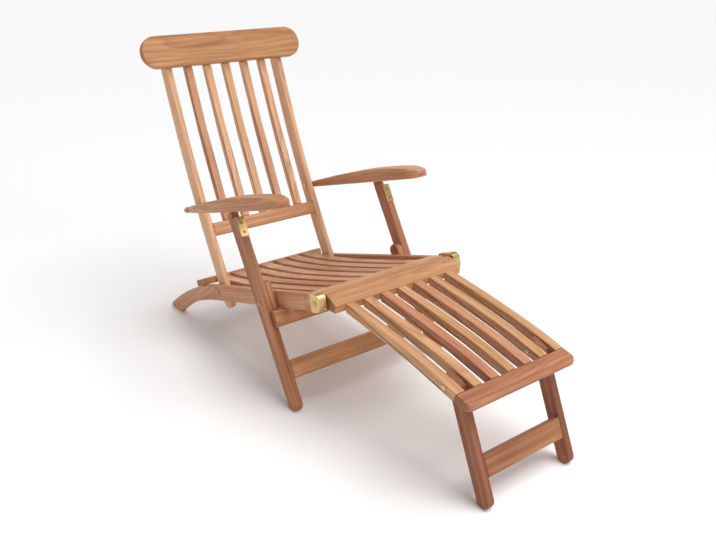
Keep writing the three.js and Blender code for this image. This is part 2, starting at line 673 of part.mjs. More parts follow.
function armPlan(side) {
  const cutWidth = ARM_NOSE_CUT * ARM_NOSE_SHARE;
  const soft = ARM_NOSE_CUT * ARM_SOFT_SHARE;
  const plan = new THREE.Path();
  const middle = ARM_REACH * ARM_FULL_SHARE;
  plan.moveTo(-ARM_TAIL - OVERRUN, armInner);
  plan.lineTo(ARM_REACH - ARM_NOSE_CUT - soft, armInner);
  plan.quadraticCurveTo(
    ARM_REACH - ARM_NOSE_CUT + soft, armInner, ARM_REACH - soft, armInner + cutWidth - soft,
  );
  plan.quadraticCurveTo(
    ARM_REACH, armInner + cutWidth, ARM_REACH + OVERRUN, (armInner + armOuter) / 2,
  );
  plan.quadraticCurveTo(ARM_REACH, armOuter - cutWidth, ARM_REACH - soft, armOuter - cutWidth + soft);
  plan.quadraticCurveTo(
    ARM_REACH - ARM_NOSE_CUT + soft, armOuter, ARM_REACH - ARM_NOSE_CUT - soft, armOuter,
  );
  plan.lineTo(middle, armOuter);
  plan.quadraticCurveTo(middle / 2, armOuter, ARM_TAIL, armRearOuter);
  plan.lineTo(-ARM_TAIL - OVERRUN, armRearOuter);
  const points = plan.getPoints(4);
  return points.map((p) => at(p.x, side * p.y));
}

const legMiddle = (legInner + legOuter) / 2;
const rackBottom = -ARM_UNDER + GAP / 2;

function armGeometry(y0, y1, side) {
  const profile = plank(armSide(), y0 - OVERRUN, y1 + OVERRUN, [ORIGIN], 0);
  const top = ARM_CROWN + OVERRUN;
  const body = common(profile, slab(armPlan(side), -ARM_UNDER - OVERRUN, top));
  const halfWidth = RACK_WIDTH / 2 + GAP;
  const recess = block(
    RACK_START - GAP, RACK_START + RACK_LENGTH + GAP,
    side * legMiddle - halfWidth, side * legMiddle + halfWidth,
    -ARM_UNDER - OVERRUN, rackBottom + RACK_THICKNESS + GAP,
  );
  return cut(body, recess);
}

function rackGeometry(side) {
  const pitch = RACK_LENGTH / RACK_SLOTS;
  const outline = [
    at(RACK_START + RACK_LENGTH, rackBottom),
    at(RACK_START + RACK_LENGTH, rackBottom + RACK_THICKNESS),
    at(RACK_START, rackBottom + RACK_THICKNESS),
    at(RACK_START, rackBottom),
  ];
  for (let i = 0; i < RACK_SLOTS; i += 1) {
    const from = RACK_START + (i + 0.5) * pitch - RACK_SLOT / 2;
    const deep = rackBottom + RACK_SLOT_DEPTH;
    outline.push(at(from, rackBottom), at(from, deep));
    outline.push(at(from + RACK_SLOT, deep), at(from + RACK_SLOT, rackBottom));
  }
  const middle = side * legMiddle;
  return plank(outline, middle - RACK_WIDTH / 2, middle + RACK_WIDTH / 2, [], 0);
}

for (const [label, side] of [["left", -1], ["right", 1]]) {
  const arm = bodyGroup(armFrame);
  const faces = side < 0 ? [-armOuter, -armInner] : [armInner, armOuter];
  add(arm, `arm_${label}`, armGeometry(...faces, side), DARK_TEAK);
  add(arm, `arm_rack_${label}`, rackGeometry(side), BRASS);
}

// Leg frame, with Z along the legs and X square to them
const legs = bodyGroup(legFrame);
const legHalf = LEG_DEPTH / 2;

// The height, at a place across the leg, of a line that another frame holds
function lineAcross(frame, from, to) {
  const [a, b] = [from, to].map((p) => local(legFrame, place(frame, p)));
  return (x) => THREE.MathUtils.mapLinear(x, a.x, b.x, a.y, b.y) - REST_CLEARANCE;
}
const underArm = lineAcross(armFrame, at(0, -ARM_UNDER), at(ARM_REACH, -ARM_UNDER));
const underRail = lineAcross(seatFrame, at(0, -RAIL_DEPTH), at(boardFront, -RAIL_DEPTH));
const notchFloor = underArm(legHalf) - LEG_NOTCH;
const notchBack = legHalf - LEG_NOTCH;

function frontLeg(y0, y1) {
  const outline = [
    ...roundedFoot(legFrame, LEG_DEPTH),
    at(legHalf, notchFloor),
    at(notchBack, notchFloor),
    at(notchBack, underArm(notchBack)),
    ...curvePoints(
      at(LEG_TOP_ROUND - legHalf, underArm(LEG_TOP_ROUND - legHalf)),
      at(-legHalf, underArm(-legHalf)),
      at(-legHalf, underArm(-legHalf) - LEG_TOP_ROUND),
      4,
    ),
  ];
  return plank(outline, y0, y1, [ORIGIN]);
}
addPair(legs, "front_leg", legInner, legOuter, DARK_TEAK, frontLeg);

const spacerLine = straight(at(0, -SPACER_DOWN + legHalf), at(0, SPACER_UP - legHalf));
const spacerOutline = ribbon({
  path: spacerLine,
  start: 0,
  end: spacerLine.getLength(),
  left: legHalf,
  right: legHalf,
  startBulge: legHalf,
  endBulge: legHalf,
});
const spacer = (y0, y1) => plank(spacerOutline, y0, y1, [ORIGIN]);
addPair(legs, "leg_spacer", blockInner, blockOuter, TEAK, spacer);

function upperCrossbar() {
  const near = legHalf + GAP;
  const far = near + UPPER_BAR_THICKNESS;
  const bottom = underRail(near) - UPPER_BAR_HEIGHT;
  const outline = [at(near, bottom), at(far, bottom), at(far, underRail(far)), at(near, underRail(near))];
  const end = legOuter - UPPER_BAR_INSET;
  return plank(outline, -end, end);
}
add(legs, "leg_crossbar_upper", upperCrossbar(), TEAK);

const lowerBarStart = LOWER_BAR_UP - LEG_PIVOT_UP;
const lowerBarOutline = rectangle(
  legHalf - LOWER_BAR_THICKNESS, legHalf, lowerBarStart, lowerBarStart + LOWER_BAR_HEIGHT,
);
const lowerBarEnd = legInner - GAP;
add(legs, "leg_crossbar_lower", plank(lowerBarOutline, -lowerBarEnd, lowerBarEnd), TEAK);

function catchGeometry(y0, y1) {
  const face = legHalf + GAP;
  const front = face + CATCH_THICKNESS;
  const floor = notchFloor + GAP;
  const outline = [
    at(face, notchFloor - CATCH_LENGTH),
    at(front, notchFloor - CATCH_LENGTH),
    at(front, floor + CATCH_THICKNESS),
    at(notchBack + GAP, floor + CATCH_THICKNESS),
    at(notchBack + GAP, floor),
    at(face, floor),
  ];
  const plate = plank(outline, y0, y1, [], CATCH_THICKNESS / 8);
  const screwLength = CATCH_SCREW_HEIGHT + CATCH_THICKNESS / 2;
  const screws = CATCH_SCREW_SHARES.map((share) => {
    const screw = new THREE.CylinderGeometry(
      CATCH_SCREW_RADIUS, CATCH_SCREW_RADIUS, screwLength, BOLT_SIDES,
    ).rotateZ(Math.PI / 2);
    const middle = front + CATCH_SCREW_HEIGHT - screwLength / 2;
    return screw.translate(middle, (y0 + y1) / 2, notchFloor - share * CATCH_LENGTH);
  });
  return join(plate, ...screws);
}
addPair(legs, "leg_catch", legInner, legOuter, BRASS, catchGeometry);

// Footrest, from its rear rail on the pins to the end rail
const footrest = bodyGroup(footrestFrame);

function rearRail() {
  const start = Math.PI / 2 + SEAT_SLOPE;
  const turns = evenly(start, Math.PI * 1.5, 8);
  const rear = turns.map((turn) => toward(turn, PIN_DEPTH));
  const crown = onward(rear[0], toward(SEAT_SLOPE), REAR_RAIL_CROWN);
  const front = at(REAR_RAIL_REACH, REAR_RAIL_RISE);
  const outline = [
    ...rear,
    at(REAR_RAIL_REACH, -PIN_DEPTH),
    ...curvePoints(front, crown, rear[0], 7).slice(0, -1),
  ];
  const end = REAR_RAIL_LENGTH / 2;
  const holes = [-1, 1].map((side) => {
    const depth = PIN_INSET + PIN_CLEARANCE + OVERRUN;
    const radius = BOLT_RADIUS + PIN_CLEARANCE;
    const drill = new THREE.CylinderGeometry(radius, radius, depth, HOLE_SIDES);
    return drill.translate(0, side * (end - PIN_INSET - PIN_CLEARANCE + depth / 2), 0);
  });
  return cut(plank(outline, -end, end), ...holes);
}
add(footrest, "footrest_rear_rail", rearRail(), PALE_TEAK);

const footrestLine = new THREE.Path();
footrestLine.moveTo(REAR_RAIL_REACH + GAP, REAR_RAIL_RISE);
footrestLine.quadraticCurveTo(
  FOOTREST_REACH * FOOTREST_BEND_REACH_SHARE, -FOOTREST_DROP * FOOTREST_BEND_DROP_SHARE,
  FOOTREST_REACH, -FOOTREST_DROP,
);
const footrestLength = footrestLine.getLength();
const footLegBolt = alongPath(footrestLine, footrestLength - FOOT_LEG_BACK, -FOOTREST_DEPTH / 2);
const footrestSteps = 8;
const footrestOutline = ribbon({
  path: footrestLine,
  start: 0,
  end: footrestLength,
  left: 0,
  right: FOOTREST_DEPTH,
  steps: footrestSteps,
});
// The rear end is cut upright, to the rear rail's front face
footrestOutline[footrestSteps + 1] = at(REAR_RAIL_REACH + GAP, REAR_RAIL_RISE - FOOTREST_DEPTH);
const footrestBar = (holes) =>
  plank(footrestOutline, -FOOTREST_BAR_WIDTH / 2, FOOTREST_BAR_WIDTH / 2, holes);

// The two side rails and the slats between them are spread evenly
const footrestOuter = REAR_RAIL_LENGTH / 2 - FOOTREST_INSET;
const footrestBarAt = (i) => spread(i, FOOTREST_SLATS + 2, footrestOuter, FOOTREST_BAR_WIDTH);
for (const [label, i] of [["left", 0], ["right", FOOTREST_SLATS + 1]]) {
  const mesh = add(footrest, `footrest_rail_${label}`, footrestBar([footLegBolt]), PALE_TEAK);
  mesh.position.y = footrestBarAt(i);
}
for (let i = 0; i < FOOTREST_SLATS; i += 1) {
  const outermost = i === 0 || i === FOOTREST_SLATS - 1;
  const bar = footrestBar(outermost ? [footLegBolt] : []);
  const mesh = add(footrest, `footrest_slat_${i + 1}`, bar, i % 2 ? TEAK : PALE_TEAK);
  mesh.position.y = footrestBarAt(i + 1);
}

function endRail() {
  const start = at(FOOTREST_REACH + GAP, -FOOTREST_DROP);
  const line = straight(start, onward(start, toward(END_RAIL_TILT), END_RAIL_WIDTH - END_RAIL_NOSE));
  const outline = ribbon({
    path: line,
    start: 0,
    end: line.getLength(),
    left: 0,
    right: END_RAIL_THICKNESS,
    endBulge: END_RAIL_NOSE,
  });
  const front = start.x + END_RAIL_WIDTH * Math.cos(END_RAIL_TILT);
  const corner = (side, from) =>
    evenly(from, from + Math.PI / 2, 4).map((turn) =>
      at(front - END_RAIL_CORNER, side * (footrestOuter - END_RAIL_CORNER)).add(
        toward(turn, END_RAIL_CORNER),
      ),
    );
  const plan = [
    at(start.x - END_RAIL_THICKNESS, -footrestOuter),
    ...corner(-1, -Math.PI / 2),
    ...corner(1, 0),
    at(start.x - END_RAIL_THICKNESS, footrestOuter),
  ];
  const depth = FOOTREST_DROP + END_RAIL_WIDTH;
  return common(plank(outline, -footrestOuter, footrestOuter), slab(plan, -2 * depth, 0));
}
add(footrest, "footrest_end_rail", endRail(), DARK_TEAK);

const outerSlatInner = footrestBarAt(FOOTREST_SLATS) - FOOTREST_BAR_WIDTH / 2;
addBolts(footrest, "footrest_leg_bolt", footLegBolt, outerSlatInner, footrestOuter);

// Footrest legs, with Z along the legs and X square to them
const footLegFrame = { origin: place(footrestFrame, footLegBolt), turn: FOOT_LEG_LEAN };
const footLegs = bodyGroup(footLegFrame);
const footLegHalf = FOOT_LEG_DEPTH / 2;
const footLegOuter = footrestOuter - FOOTREST_BAR_WIDTH - FOOT_LEG_RAIL_CLEARANCE;
const footLegInner = outerSlatInner + FOOTREST_BAR_WIDTH + FOOT_LEG_SLAT_CLEARANCE;
const footLegDown = footLegFrame.origin.y / Math.cos(FOOT_LEG_LEAN);

function footrestLeg(y0, y1) {
  const share = 1 - FOOT_LEG_BACK / footrestLength;
  const slope = footrestLine.getTangentAt(share).angle() - FOOT_LEG_LEAN;
  const normal = toward(slope + Math.PI / 2);
  const rear = at(-footLegHalf, (FOOT_LEG_TOP + footLegHalf * normal.x) / normal.y);
  const facet = onward(rear, toward(slope), FOOT_LEG_FACET);
  const outline = [
    ...roundedFoot(footLegFrame, FOOT_LEG_DEPTH),
    at(footLegHalf, facet.y - FOOT_LEG_SLOPE),
    facet,
    rear,
  ];
  return plank(outline, y0, y1, [ORIGIN]);
}
addPair(footLegs, "footrest_leg", footLegInner, footLegOuter, DARK_TEAK, footrestLeg);

const footBarStart = FOOT_BAR_UP - footLegDown;
const footBarOutline = rectangle(
  footLegHalf - FOOT_BAR_THICKNESS, footLegHalf, footBarStart, footBarStart + FOOT_BAR_HEIGHT,
);
const footBarEnd = footLegInner - GAP;
add(footLegs, "footrest_leg_crossbar", plank(footBarOutline, -footBarEnd, footBarEnd), TEAK);

// The chair is moved so that it stands on z = 0 with its bounding box centred over the origin
const box = new THREE.Box3().setFromObject(chair, true);
const centre = box.getCenter(new THREE.Vector3());
chair.position.set(-centre.x, -centre.y, -box.min.z);
const steamerChair = new THREE.Group();
steamerChair.add(chair);

export default steamerChair;
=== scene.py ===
"""Steamer deck chair: the shapes and finish of a folding slatted teak chair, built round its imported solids.

Metres, Z up. X runs from the back to the footrest, and left is the -Y side. In the side view a point is
(x, z), and an angle turns from X towards Z.
"""

import json
import math
import zlib

import bpy
import numpy as np
from bpy.props import FloatProperty, FloatVectorProperty, PointerProperty
from bpy.types import Operator, Panel, PropertyGroup
from mathutils import Matrix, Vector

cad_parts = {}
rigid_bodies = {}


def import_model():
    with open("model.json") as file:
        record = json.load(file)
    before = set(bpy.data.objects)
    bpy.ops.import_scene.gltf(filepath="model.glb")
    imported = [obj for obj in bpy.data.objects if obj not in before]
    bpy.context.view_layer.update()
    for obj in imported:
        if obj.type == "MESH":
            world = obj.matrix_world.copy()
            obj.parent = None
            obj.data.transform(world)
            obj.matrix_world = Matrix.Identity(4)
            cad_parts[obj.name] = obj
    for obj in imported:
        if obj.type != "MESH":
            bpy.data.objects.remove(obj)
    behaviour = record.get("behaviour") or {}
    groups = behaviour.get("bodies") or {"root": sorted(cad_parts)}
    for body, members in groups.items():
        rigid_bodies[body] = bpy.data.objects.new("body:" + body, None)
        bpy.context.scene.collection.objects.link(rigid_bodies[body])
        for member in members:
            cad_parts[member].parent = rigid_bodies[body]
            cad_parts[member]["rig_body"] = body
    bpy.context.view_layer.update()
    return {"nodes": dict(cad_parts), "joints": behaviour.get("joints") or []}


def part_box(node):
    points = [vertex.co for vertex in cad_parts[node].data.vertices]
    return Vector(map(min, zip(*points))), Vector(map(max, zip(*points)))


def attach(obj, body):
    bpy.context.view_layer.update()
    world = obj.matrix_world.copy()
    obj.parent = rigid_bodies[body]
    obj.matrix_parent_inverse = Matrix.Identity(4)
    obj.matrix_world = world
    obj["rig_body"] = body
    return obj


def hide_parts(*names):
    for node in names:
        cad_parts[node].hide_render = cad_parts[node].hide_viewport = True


bl_info = {
    "name": "Steamer deck chair",
    "version": (1, 0, 0),
    "blender": (4, 5, 0),
    "location": "3D View > Sidebar > Deck chair",
    "description": "Shapes and finishes a folding teak deck chair round its packed solids",
    "category": "Add Mesh",
}

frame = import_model()
PIVOTS = {joint["name"]: np.array(joint["pos_m"])[[0, 2]] for joint in frame["joints"]}
SIDES = {"left": -1, "right": 1}


# Properties

def length(name, description, default):
    """A size in metres."""
    return FloatProperty(name=name, description=description, default=default, unit="LENGTH", precision=4)


def angle(name, description, default):
    """An angle, given in degrees."""
    return FloatProperty(
        name=name, description=description, default=math.radians(default), unit="ROTATION"
    )


def share(name, description, default):
    """A number from 0 to 1."""
    return FloatProperty(name=name, description=description, default=default, min=0, max=1, subtype="FACTOR")


def number(name, description, default):
    """A plain number."""
    return FloatProperty(name=name, description=description, default=default)


def colour(name, description, default):
    """A colour in linear red, green and blue."""
    return FloatVectorProperty(
        name=name, description=description, default=default, subtype="COLOR", min=0, max=1
    )


class EdgeSizes(PropertyGroup):
    """How the wood and the metal are rounded"""

    edge: length("Edge", "Rounding where a board's face meets its edge", 0.0026)
    corner: length("Corner", "Rounding of a corner of a board's outline", 0.0034)
    soft_edge: length("Soft edge", "Rounding of the arms' and the headrest's faces", 0.0042)
    metal_edge: length("Metal edge", "Rounding of the brass plates", 0.0005)
    gap: length("Gap", "Between pieces that are fixed face to face", 0.0003)


class SeatSizes(PropertyGroup):
    """Sizes of the seat frame"""

    slope: angle("Slope", "Rise of the seat towards the front", 18.66)
    rail_depth: length("Rail depth", "From the rail's top to its underside", 0.0485)
    rail_front_cut: length("Rail front cut", "The cut corner under the rail's front end", 0.020)
    bolt_depth: length("Bolt depth", "From the rail's top down to the leg bolt", 0.027)
    joint_reach: length("Joint reach", "From the leg bolt back to the joint of the rear foot", 0.334)
    joint_rake: length("Joint rake", "How far the joint leans over the rail's depth", 0.010)
    board_width: length("Board width", "Width of the front board", 0.050)
    board_thickness: length("Board thickness", "Between the rails", 0.020)
    board_lip: length("Board lip", "The board's thickness over the rails", 0.008)
    board_clearance: length("Board clearance", "Between the board and the footrest", 0.0015)
    foot_reach: length("Foot reach", "From the front leg's foot back to the toe", 0.788)
    foot_flat: length("Foot flat", "Length of the flat under the rear foot", 0.052)
    foot_round: length("Foot round", "Rounding at the ends of that flat", 0.009)
    foot_bend: length("Foot bend", "From the joint to the bend's control point", 0.156)
    bar_reach: length("Bar reach", "From the leg bolt back to the rear crossbar", 0.426)
    bar_width: length("Bar width", "Width of the rear crossbar", 0.042)
    bar_thickness: length("Bar thickness", "Thickness of the rear crossbar", 0.021)
    slat_thickness: length("Slat thickness", "Thickness of the seat slats", 0.018)
    slat_dish: length("Slat dish", "How far the slats sink under the rails' tops", 0.0055)
    slat_step: length("Slat step", "The board stands this much over the slats", 0.003)
    plug_radius: length("Plug radius", "Of the plugs over the slats' screws", 0.0048)
    plug_inset: length("Plug inset", "From the slat's rear end to its plug", 0.022)


class HingeSizes(PropertyGroup):
    """Sizes of the footrest's hinge blocks, caps and bolts"""

    block_height: length("Block height", "Height of the hinge block", 0.046)
    block_nose: length("Block nose", "From the pin forward to the nose", 0.019)
    block_tail: length("Block tail", "From the pin back to the block's end", 0.045)
    block_round: length("Block round", "Rounding of the nose", 0.014)
    cap_wall: length("Cap wall", "Thickness of the brass cap", 0.002)
    cap_tail: length("Cap tail", "From the pin back to the cap's rear edge", 0.018)
    pin_reach: length("Pin reach", "From the leg bolt forward to the footrest pin", 0.237)
    pin_depth: length("Pin depth", "From the rail's top down to the pin", 0.0185)
    bolt_radius: length("Bolt radius", "Of the shank", 0.004)
    head_radius: length("Head radius", "Of the bolt's head", 0.0075)
    head_height: length("Head height", "Of the bolt's head", 0.0032)
    nut_radius: length("Nut radius", "Of the nut", 0.0065)
    nut_height: length("Nut height", "Of the nut", 0.003)
    washer_radius: length("Washer radius", "Of the washers on the back's bolts", 0.0175)


class BackSizes(PropertyGroup):
    """Sizes of the back"""

    stile_depth: length("Stile depth", "From front to back", 0.0415)
    bolt_depth: length("Bolt depth", "From the front face to the bolt", 0.0182)
    tail: length("Tail", "Length of the stile below the bolt", 0.055)
    lower_lean: angle("Lower lean", "Lean of the stile at the bolt", 32.5)
    upper_lean: angle("Upper lean", "Lean of the stile over its bend", 24.8)
    bend_start: length("Bend start", "Straight part above the bolt", 0.012)
    lower_reach: length("Lower reach", "From the bend's start to its control point", 0.313)
    upper_reach: length("Upper reach", "From the control point to the bend's end", 0.255)
    straight: length("Straight part", "Over the bend", 0.236)
    rail_up: length("Rail height", "From the bolt up to the lower rail", 0.176)
    rail_height: length("Rail size", "Height of the lower rail", 0.041)
    rail_depth: length("Rail depth", "From front to back", 0.020)
    slat_depth: length("Slat depth", "From front to back", 0.020)
    slat_short: length("Slat short", "The slats end this much below the stiles", 0.012)
    headrest_height: length("Headrest height", "Height of the headrest", 0.101)
    headrest_length: length("Headrest length", "Over its round ends", 0.590)
    headrest_thickness: length("Headrest thickness", "From front to back", 0.022)
    headrest_proud: length("Headrest proud", "In front of the stiles", 0.0184)
    headrest_rise: length("Headrest rise", "Over the stiles' tops", 0.005)


class ArmSizes(PropertyGroup):
    """Sizes of the arms"""

    reach: length("Reach", "From the arm bolt to the nose", 0.541)
    tail: length("Tail", "Behind the arm bolt", 0.0195)
    tail_round: length("Tail round", "Length of the rounded rear end", 0.0165)
    crown: length("Crown", "From the arm bolt up to the highest part", 0.031)
    under: length("Under", "From the arm bolt down to the underside", 0.008)
    nose_rise: length("Nose rise", "Height of the rounded nose", 0.024)
    rear_width: length("Rear width", "Width at the arm bolt", 0.043)
    nose_cut: length("Nose cut", "Length of the cut corners", 0.046)
    nose_share: share("Nose share", "Width of a cut corner, of its length", 0.42)
    soft_share: share("Soft share", "Of that length, where the corner is eased", 0.2)
    full_share: share("Full share", "Along the arm, where it has its full width", 0.45)
    rack_start: length("Rack start", "From the arm bolt to the rack", 0.278)
    rack_length: length("Rack length", "Length of the slotted plate", 0.104)
    rack_thickness: length("Rack thickness", "Thickness of the plate", 0.0024)
    rack_slot: length("Rack slot", "Length of a slot", 0.005)
    rack_slot_depth: length("Rack slot depth", "Depth of a slot", 0.0014)


class LegSizes(PropertyGroup):
    """Sizes of the leg frame"""

    lean: angle("Lean", "Lean of the front legs", 33.26)
    depth: length("Depth", "Of the leg, seen from the side", 0.0405)
    foot_flat: length("Foot flat", "Length of the flat on the rounded foot", 0.013)
    notch: length("Notch", "In the leg's front top corner", 0.018)
    top_round: length("Top round", "Rounding of the leg's rear top corner", 0.015)
    rest_clearance: length("Rest clearance", "Between the arm and the leg", 0.0007)
    spacer_up: length("Spacer up", "Top of the spacer over the bolt", 0.060)
    spacer_down: length("Spacer down", "Foot of the spacer under the bolt", 0.044)
    upper_height: length("Upper bar height", "Height of the upper crossbar", 0.051)
    upper_thickness: length("Upper bar thickness", "Its thickness", 0.020)
    lower_up: length("Lower bar up", "From the ground to the lower crossbar", 0.089)
    lower_height: length("Lower bar height", "Height of the lower crossbar", 0.054)
    lower_thickness: length("Lower bar thickness", "Its thickness", 0.020)
    catch_thickness: length("Catch thickness", "Thickness of the catch plate", 0.002)
    catch_length: length("Catch length", "Length of the catch plate", 0.056)
    catch_screw: length("Catch screw", "Radius of its screws", 0.004)


class FootrestSizes(PropertyGroup):
    """Sizes of the footrest"""

    depth: length("Depth", "Of its bars, from top to bottom", 0.025)
    reach: length("Reach", "From the pin to the end rail", 0.463)
    drop: length("Drop", "Of the end rail under the pin", 0.0645)
    bend_reach_share: share("Bend reach", "Place of the bend along the footrest", 0.752)
    bend_drop_share: share("Bend drop", "Drop of the bend's control point", 0.473)
    rail_reach: length("Rail reach", "From the pin to the rear rail's front face", 0.051)
    rail_rise: length("Rail rise", "Of that face's top over the pin", 0.0015)
    rail_crown: length("Rail crown", "Length of the crown's first leg", 0.029)
    end_width: length("End width", "Width of the end rail", 0.050)
    end_thickness: length("End thickness", "Thickness of the end rail", 0.024)
    end_tilt: angle("End tilt", "Of the end rail's top", -12.5)
    end_nose: length("End nose", "Depth of the round nose", 0.009)
    end_corner: length("End corner", "Rounding of its front corners", 0.016)
    leg_lean: angle("Leg lean", "Lean of the footrest's legs", 26.04)
    leg_depth: length("Leg depth", "Of the leg, seen from the side", 0.0396)
    leg_back: length("Leg back", "From the end rail back to the leg's bolt", 0.040)
    leg_top: length("Leg top", "From the bolt up to the leg's top", 0.0095)
    leg_facet: length("Leg facet", "Length of the leg's top facet", 0.021)
    leg_slope: length("Leg slope", "Depth of the slope in front of it", 0.024)
    bar_up: length("Bar up", "From the ground to the crossbar", 0.074)
    bar_height: length("Bar height", "Height of the crossbar", 0.056)
    bar_thickness: length("Bar thickness", "Its thickness", 0.020)


class WoodFinish(PropertyGroup):
    """Colours and grain of the oiled teak"""

    base: colour("Base", "Colour of the plain wood", (0.550, 0.245, 0.108))
    pale: colour("Pale", "Colour of the pale early wood", (0.820, 0.485, 0.272))
    deep: colour("Deep", "Colour of the dark late wood", (0.205, 0.056, 0.017))
    gold: colour("Gold", "Yellowish boards", (0.600, 0.315, 0.113))
    rose: colour("Rose", "Pinkish boards", (0.550, 0.202, 0.102))
    ring_width: length("Ring width", "Between the growth rings", 0.0085)
    figure: share("Figure", "Strength of the rings", 0.30)
    streaks: share("Streaks", "Strength of the long streaks", 0.75)
    pores: share("Pores", "Strength of the fine dark pores", 0.35)
    roughness: share("Roughness", "Of the oiled surface", 0.5)
    relief: length("Relief", "Depth of the grain", 0.00018)


class BrassFinish(PropertyGroup):
    """Colours of the brass"""

    bright: colour("Bright", "Polished brass", (0.66, 0.47, 0.21))
    dull: colour("Dull", "Tarnished brass", (0.30, 0.19, 0.07))
    roughness: share("Roughness", "Of the polished brass", 0.30)


class StageSettings(PropertyGroup):
    """Floor, lights and camera"""

    floor: colour("Floor", "Colour of the floor", (0.94, 0.94, 0.94))
    world: number("World light", "Strength of the even light from higher up", 0.28)
    sky: number("Top light", "Strength of the broad light from above", 2.15)
    key: number("Key light", "Power of the large light in front, in watts", 30.0)
    focal: number("Focal length", "In pixels of the photograph", 873.4)
    shift: FloatVectorProperty(
        name="Lens shift", description="Shift of the picture", size=2, default=(0.0020, -0.0232)
    )


class ChairSettings(PropertyGroup):
    """All the sizes and finishes of the chair"""

    edges: PointerProperty(type=EdgeSizes, name="Edges", description="Rounding")
    seat: PointerProperty(type=SeatSizes, name="Seat", description="Seat frame")
    hinge: PointerProperty(type=HingeSizes, name="Hinge", description="Hinges and bolts")
    back: PointerProperty(type=BackSizes, name="Back", description="Back")
    arm: PointerProperty(type=ArmSizes, name="Arms", description="Arms")
    leg: PointerProperty(type=LegSizes, name="Legs", description="Leg frame")
    footrest: PointerProperty(type=FootrestSizes, name="Footrest", description="Footrest")
    wood: PointerProperty(type=WoodFinish, name="Wood", description="Teak")
    brass: PointerProperty(type=BrassFinish, name="Brass", description="Brass")
    stage: PointerProperty(type=StageSettings, name="Stage", description="Stage")


# Curves and outlines in the side view

CRISP_SHARE = 0.4  # rounding of a crisp corner, of the usual one
FIRM_SHARE = 0.5  # rounding of a slat's corner where it meets another board, of the usual one
LONGEST_EASE_SHARE = 0.48  # how much of an edge an eased corner may take, so that two never meet


def at(x, z):
    """A point of the side view."""
    return np.array([x, z], float)


def toward(turn, reach=1.0):
    """The vector of a given length at an angle in the side view."""
    return reach * np.array([math.cos(turn), math.sin(turn)])


def turn_of(vector):
    """The angle of a vector in the side view."""
    return math.atan2(vector[1], vector[0])


class SideFrame:
    """A frame in the side view: its origin, and its turn from X towards Z."""

    def __init__(self, origin, turn=0.0):
        self.origin = np.asarray(origin, float)
        self.turn = turn
        self.axes = np.array([toward(turn), toward(turn + math.pi / 2)])

    def out(self, points):
        """Points of this frame as points of the chair."""
        return np.asarray(points, float) @ self.axes + self.origin

    def into(self, points):
        """Points of the chair as points of this frame."""
        return (np.asarray(points, float) - self.origin) @ self.axes.T


def quadratic(a, b, c, steps=16):
    """The curve (1 - t)^2 a + 2 t (1 - t) b + t^2 c, with t in even steps from 0 to 1."""
    t = np.linspace(0, 1, steps + 1)[:, None]
    return (1 - t) ** 2 * a + 2 * t * (1 - t) * b + t**2 * c


def arc(centre, radius, start, end, steps=8):
    """Points centre + radius (cos, sin) of angles in even steps from start to end."""
    turns = np.linspace(start, end, steps + 1)
    return centre + radius * np.stack([np.cos(turns), np.sin(turns)], 1)


def spline(points, steps=10):
    """A smooth curve through points.

    Each stretch is a cubic, whose slope at either end is half the chord between the neighbouring points.
    """
    p = np.asarray(points, float)
    p0, p1, p2, p3 = (np.vstack([p[:1], p[:-2]]), p[:-1], p[1:], np.vstack([p[2:], p[-1:]]))
    t = (np.arange(steps) / steps)[None, :, None]
    p0, p1, p2, p3 = (q[:, None, :] for q in (p0, p1, p2, p3))
    slope1, slope2 = (p2 - p0) / 2, (p3 - p1) / 2
    curve = (
        (2 * p1 - 2 * p2 + slope1 + slope2) * t**3
        + (3 * p2 - 3 * p1 - 2 * slope1 - slope2) * t**2
        + slope1 * t
        + p1
    )
    return np.vstack([curve.reshape(-1, 2), p[-1:]])


class Line:
    """A line in the side view, looked up by the length along it."""

    def __init__(self, points):
        self.points = np.asarray(points, float)
        steps = np.linalg.norm(np.diff(self.points, axis=0), axis=1)
        self.along = np.concatenate([[0], np.cumsum(steps)])
        self.length = self.along[-1]
        tangents = np.gradient(self.points, self.along, axis=0)
        self.tangents = tangents / np.linalg.norm(tangents, axis=1)[:, None]

    def look(self, values, lengths):
        """The values of the line's points, interpolated at lengths along it."""
        return np.stack([np.interp(lengths, self.along, values[:, k]) for k in range(2)], -1)

    def at(self, lengths, side=0.0):
        """Points at lengths along the line, moved by side to its left."""
        tangent = self.look(self.tangents, lengths)
        normal = np.stack([-tangent[..., 1], tangent[..., 0]], -1)
        return self.look(self.points, lengths) + side * normal


def eased(*parts, steps=5):
    """A closed outline with eased corners, from (points, radius) parts.

    A corner of radius r gives way to the quadratic curve between the points r / tan(half its angle) before
    and after it. Points of radius 0 stay as they are.
    """
    points = np.vstack([np.atleast_2d(p) for p, _ in parts])
    radius = np.concatenate([np.full(len(np.atleast_2d(p)), r) for p, r in parts])
    before, after = (np.roll(points, 1, 0) - points, np.roll(points, -1, 0) - points)
    near, far = (np.linalg.norm(v, axis=1)[:, None] for v in (before, after))
    before, after = before / near, after / far
    half = np.arccos(np.clip((before * after).sum(1), -1, 1)) / 2
    longest = LONGEST_EASE_SHARE * np.minimum(near, far)
    reach = np.minimum((radius / np.tan(half))[:, None], longest)
    t = np.linspace(0, 1, steps + 1)[None, :, None]
    start, end = (points + before * reach)[:, None], (points + after * reach)[:, None]
    curve = (1 - t) ** 2 * start + 2 * t * (1 - t) * points[:, None] + t**2 * end
    kept = np.ones(curve.shape[:2], bool)
    kept[radius == 0, 1:] = False
    return curve[kept]


def rectangle(x0, x1, z0, z1):
    """The four corners of a rectangle."""
    return np.array([[x0, z0], [x1, z0], [x1, z1], [x0, z1]], float)


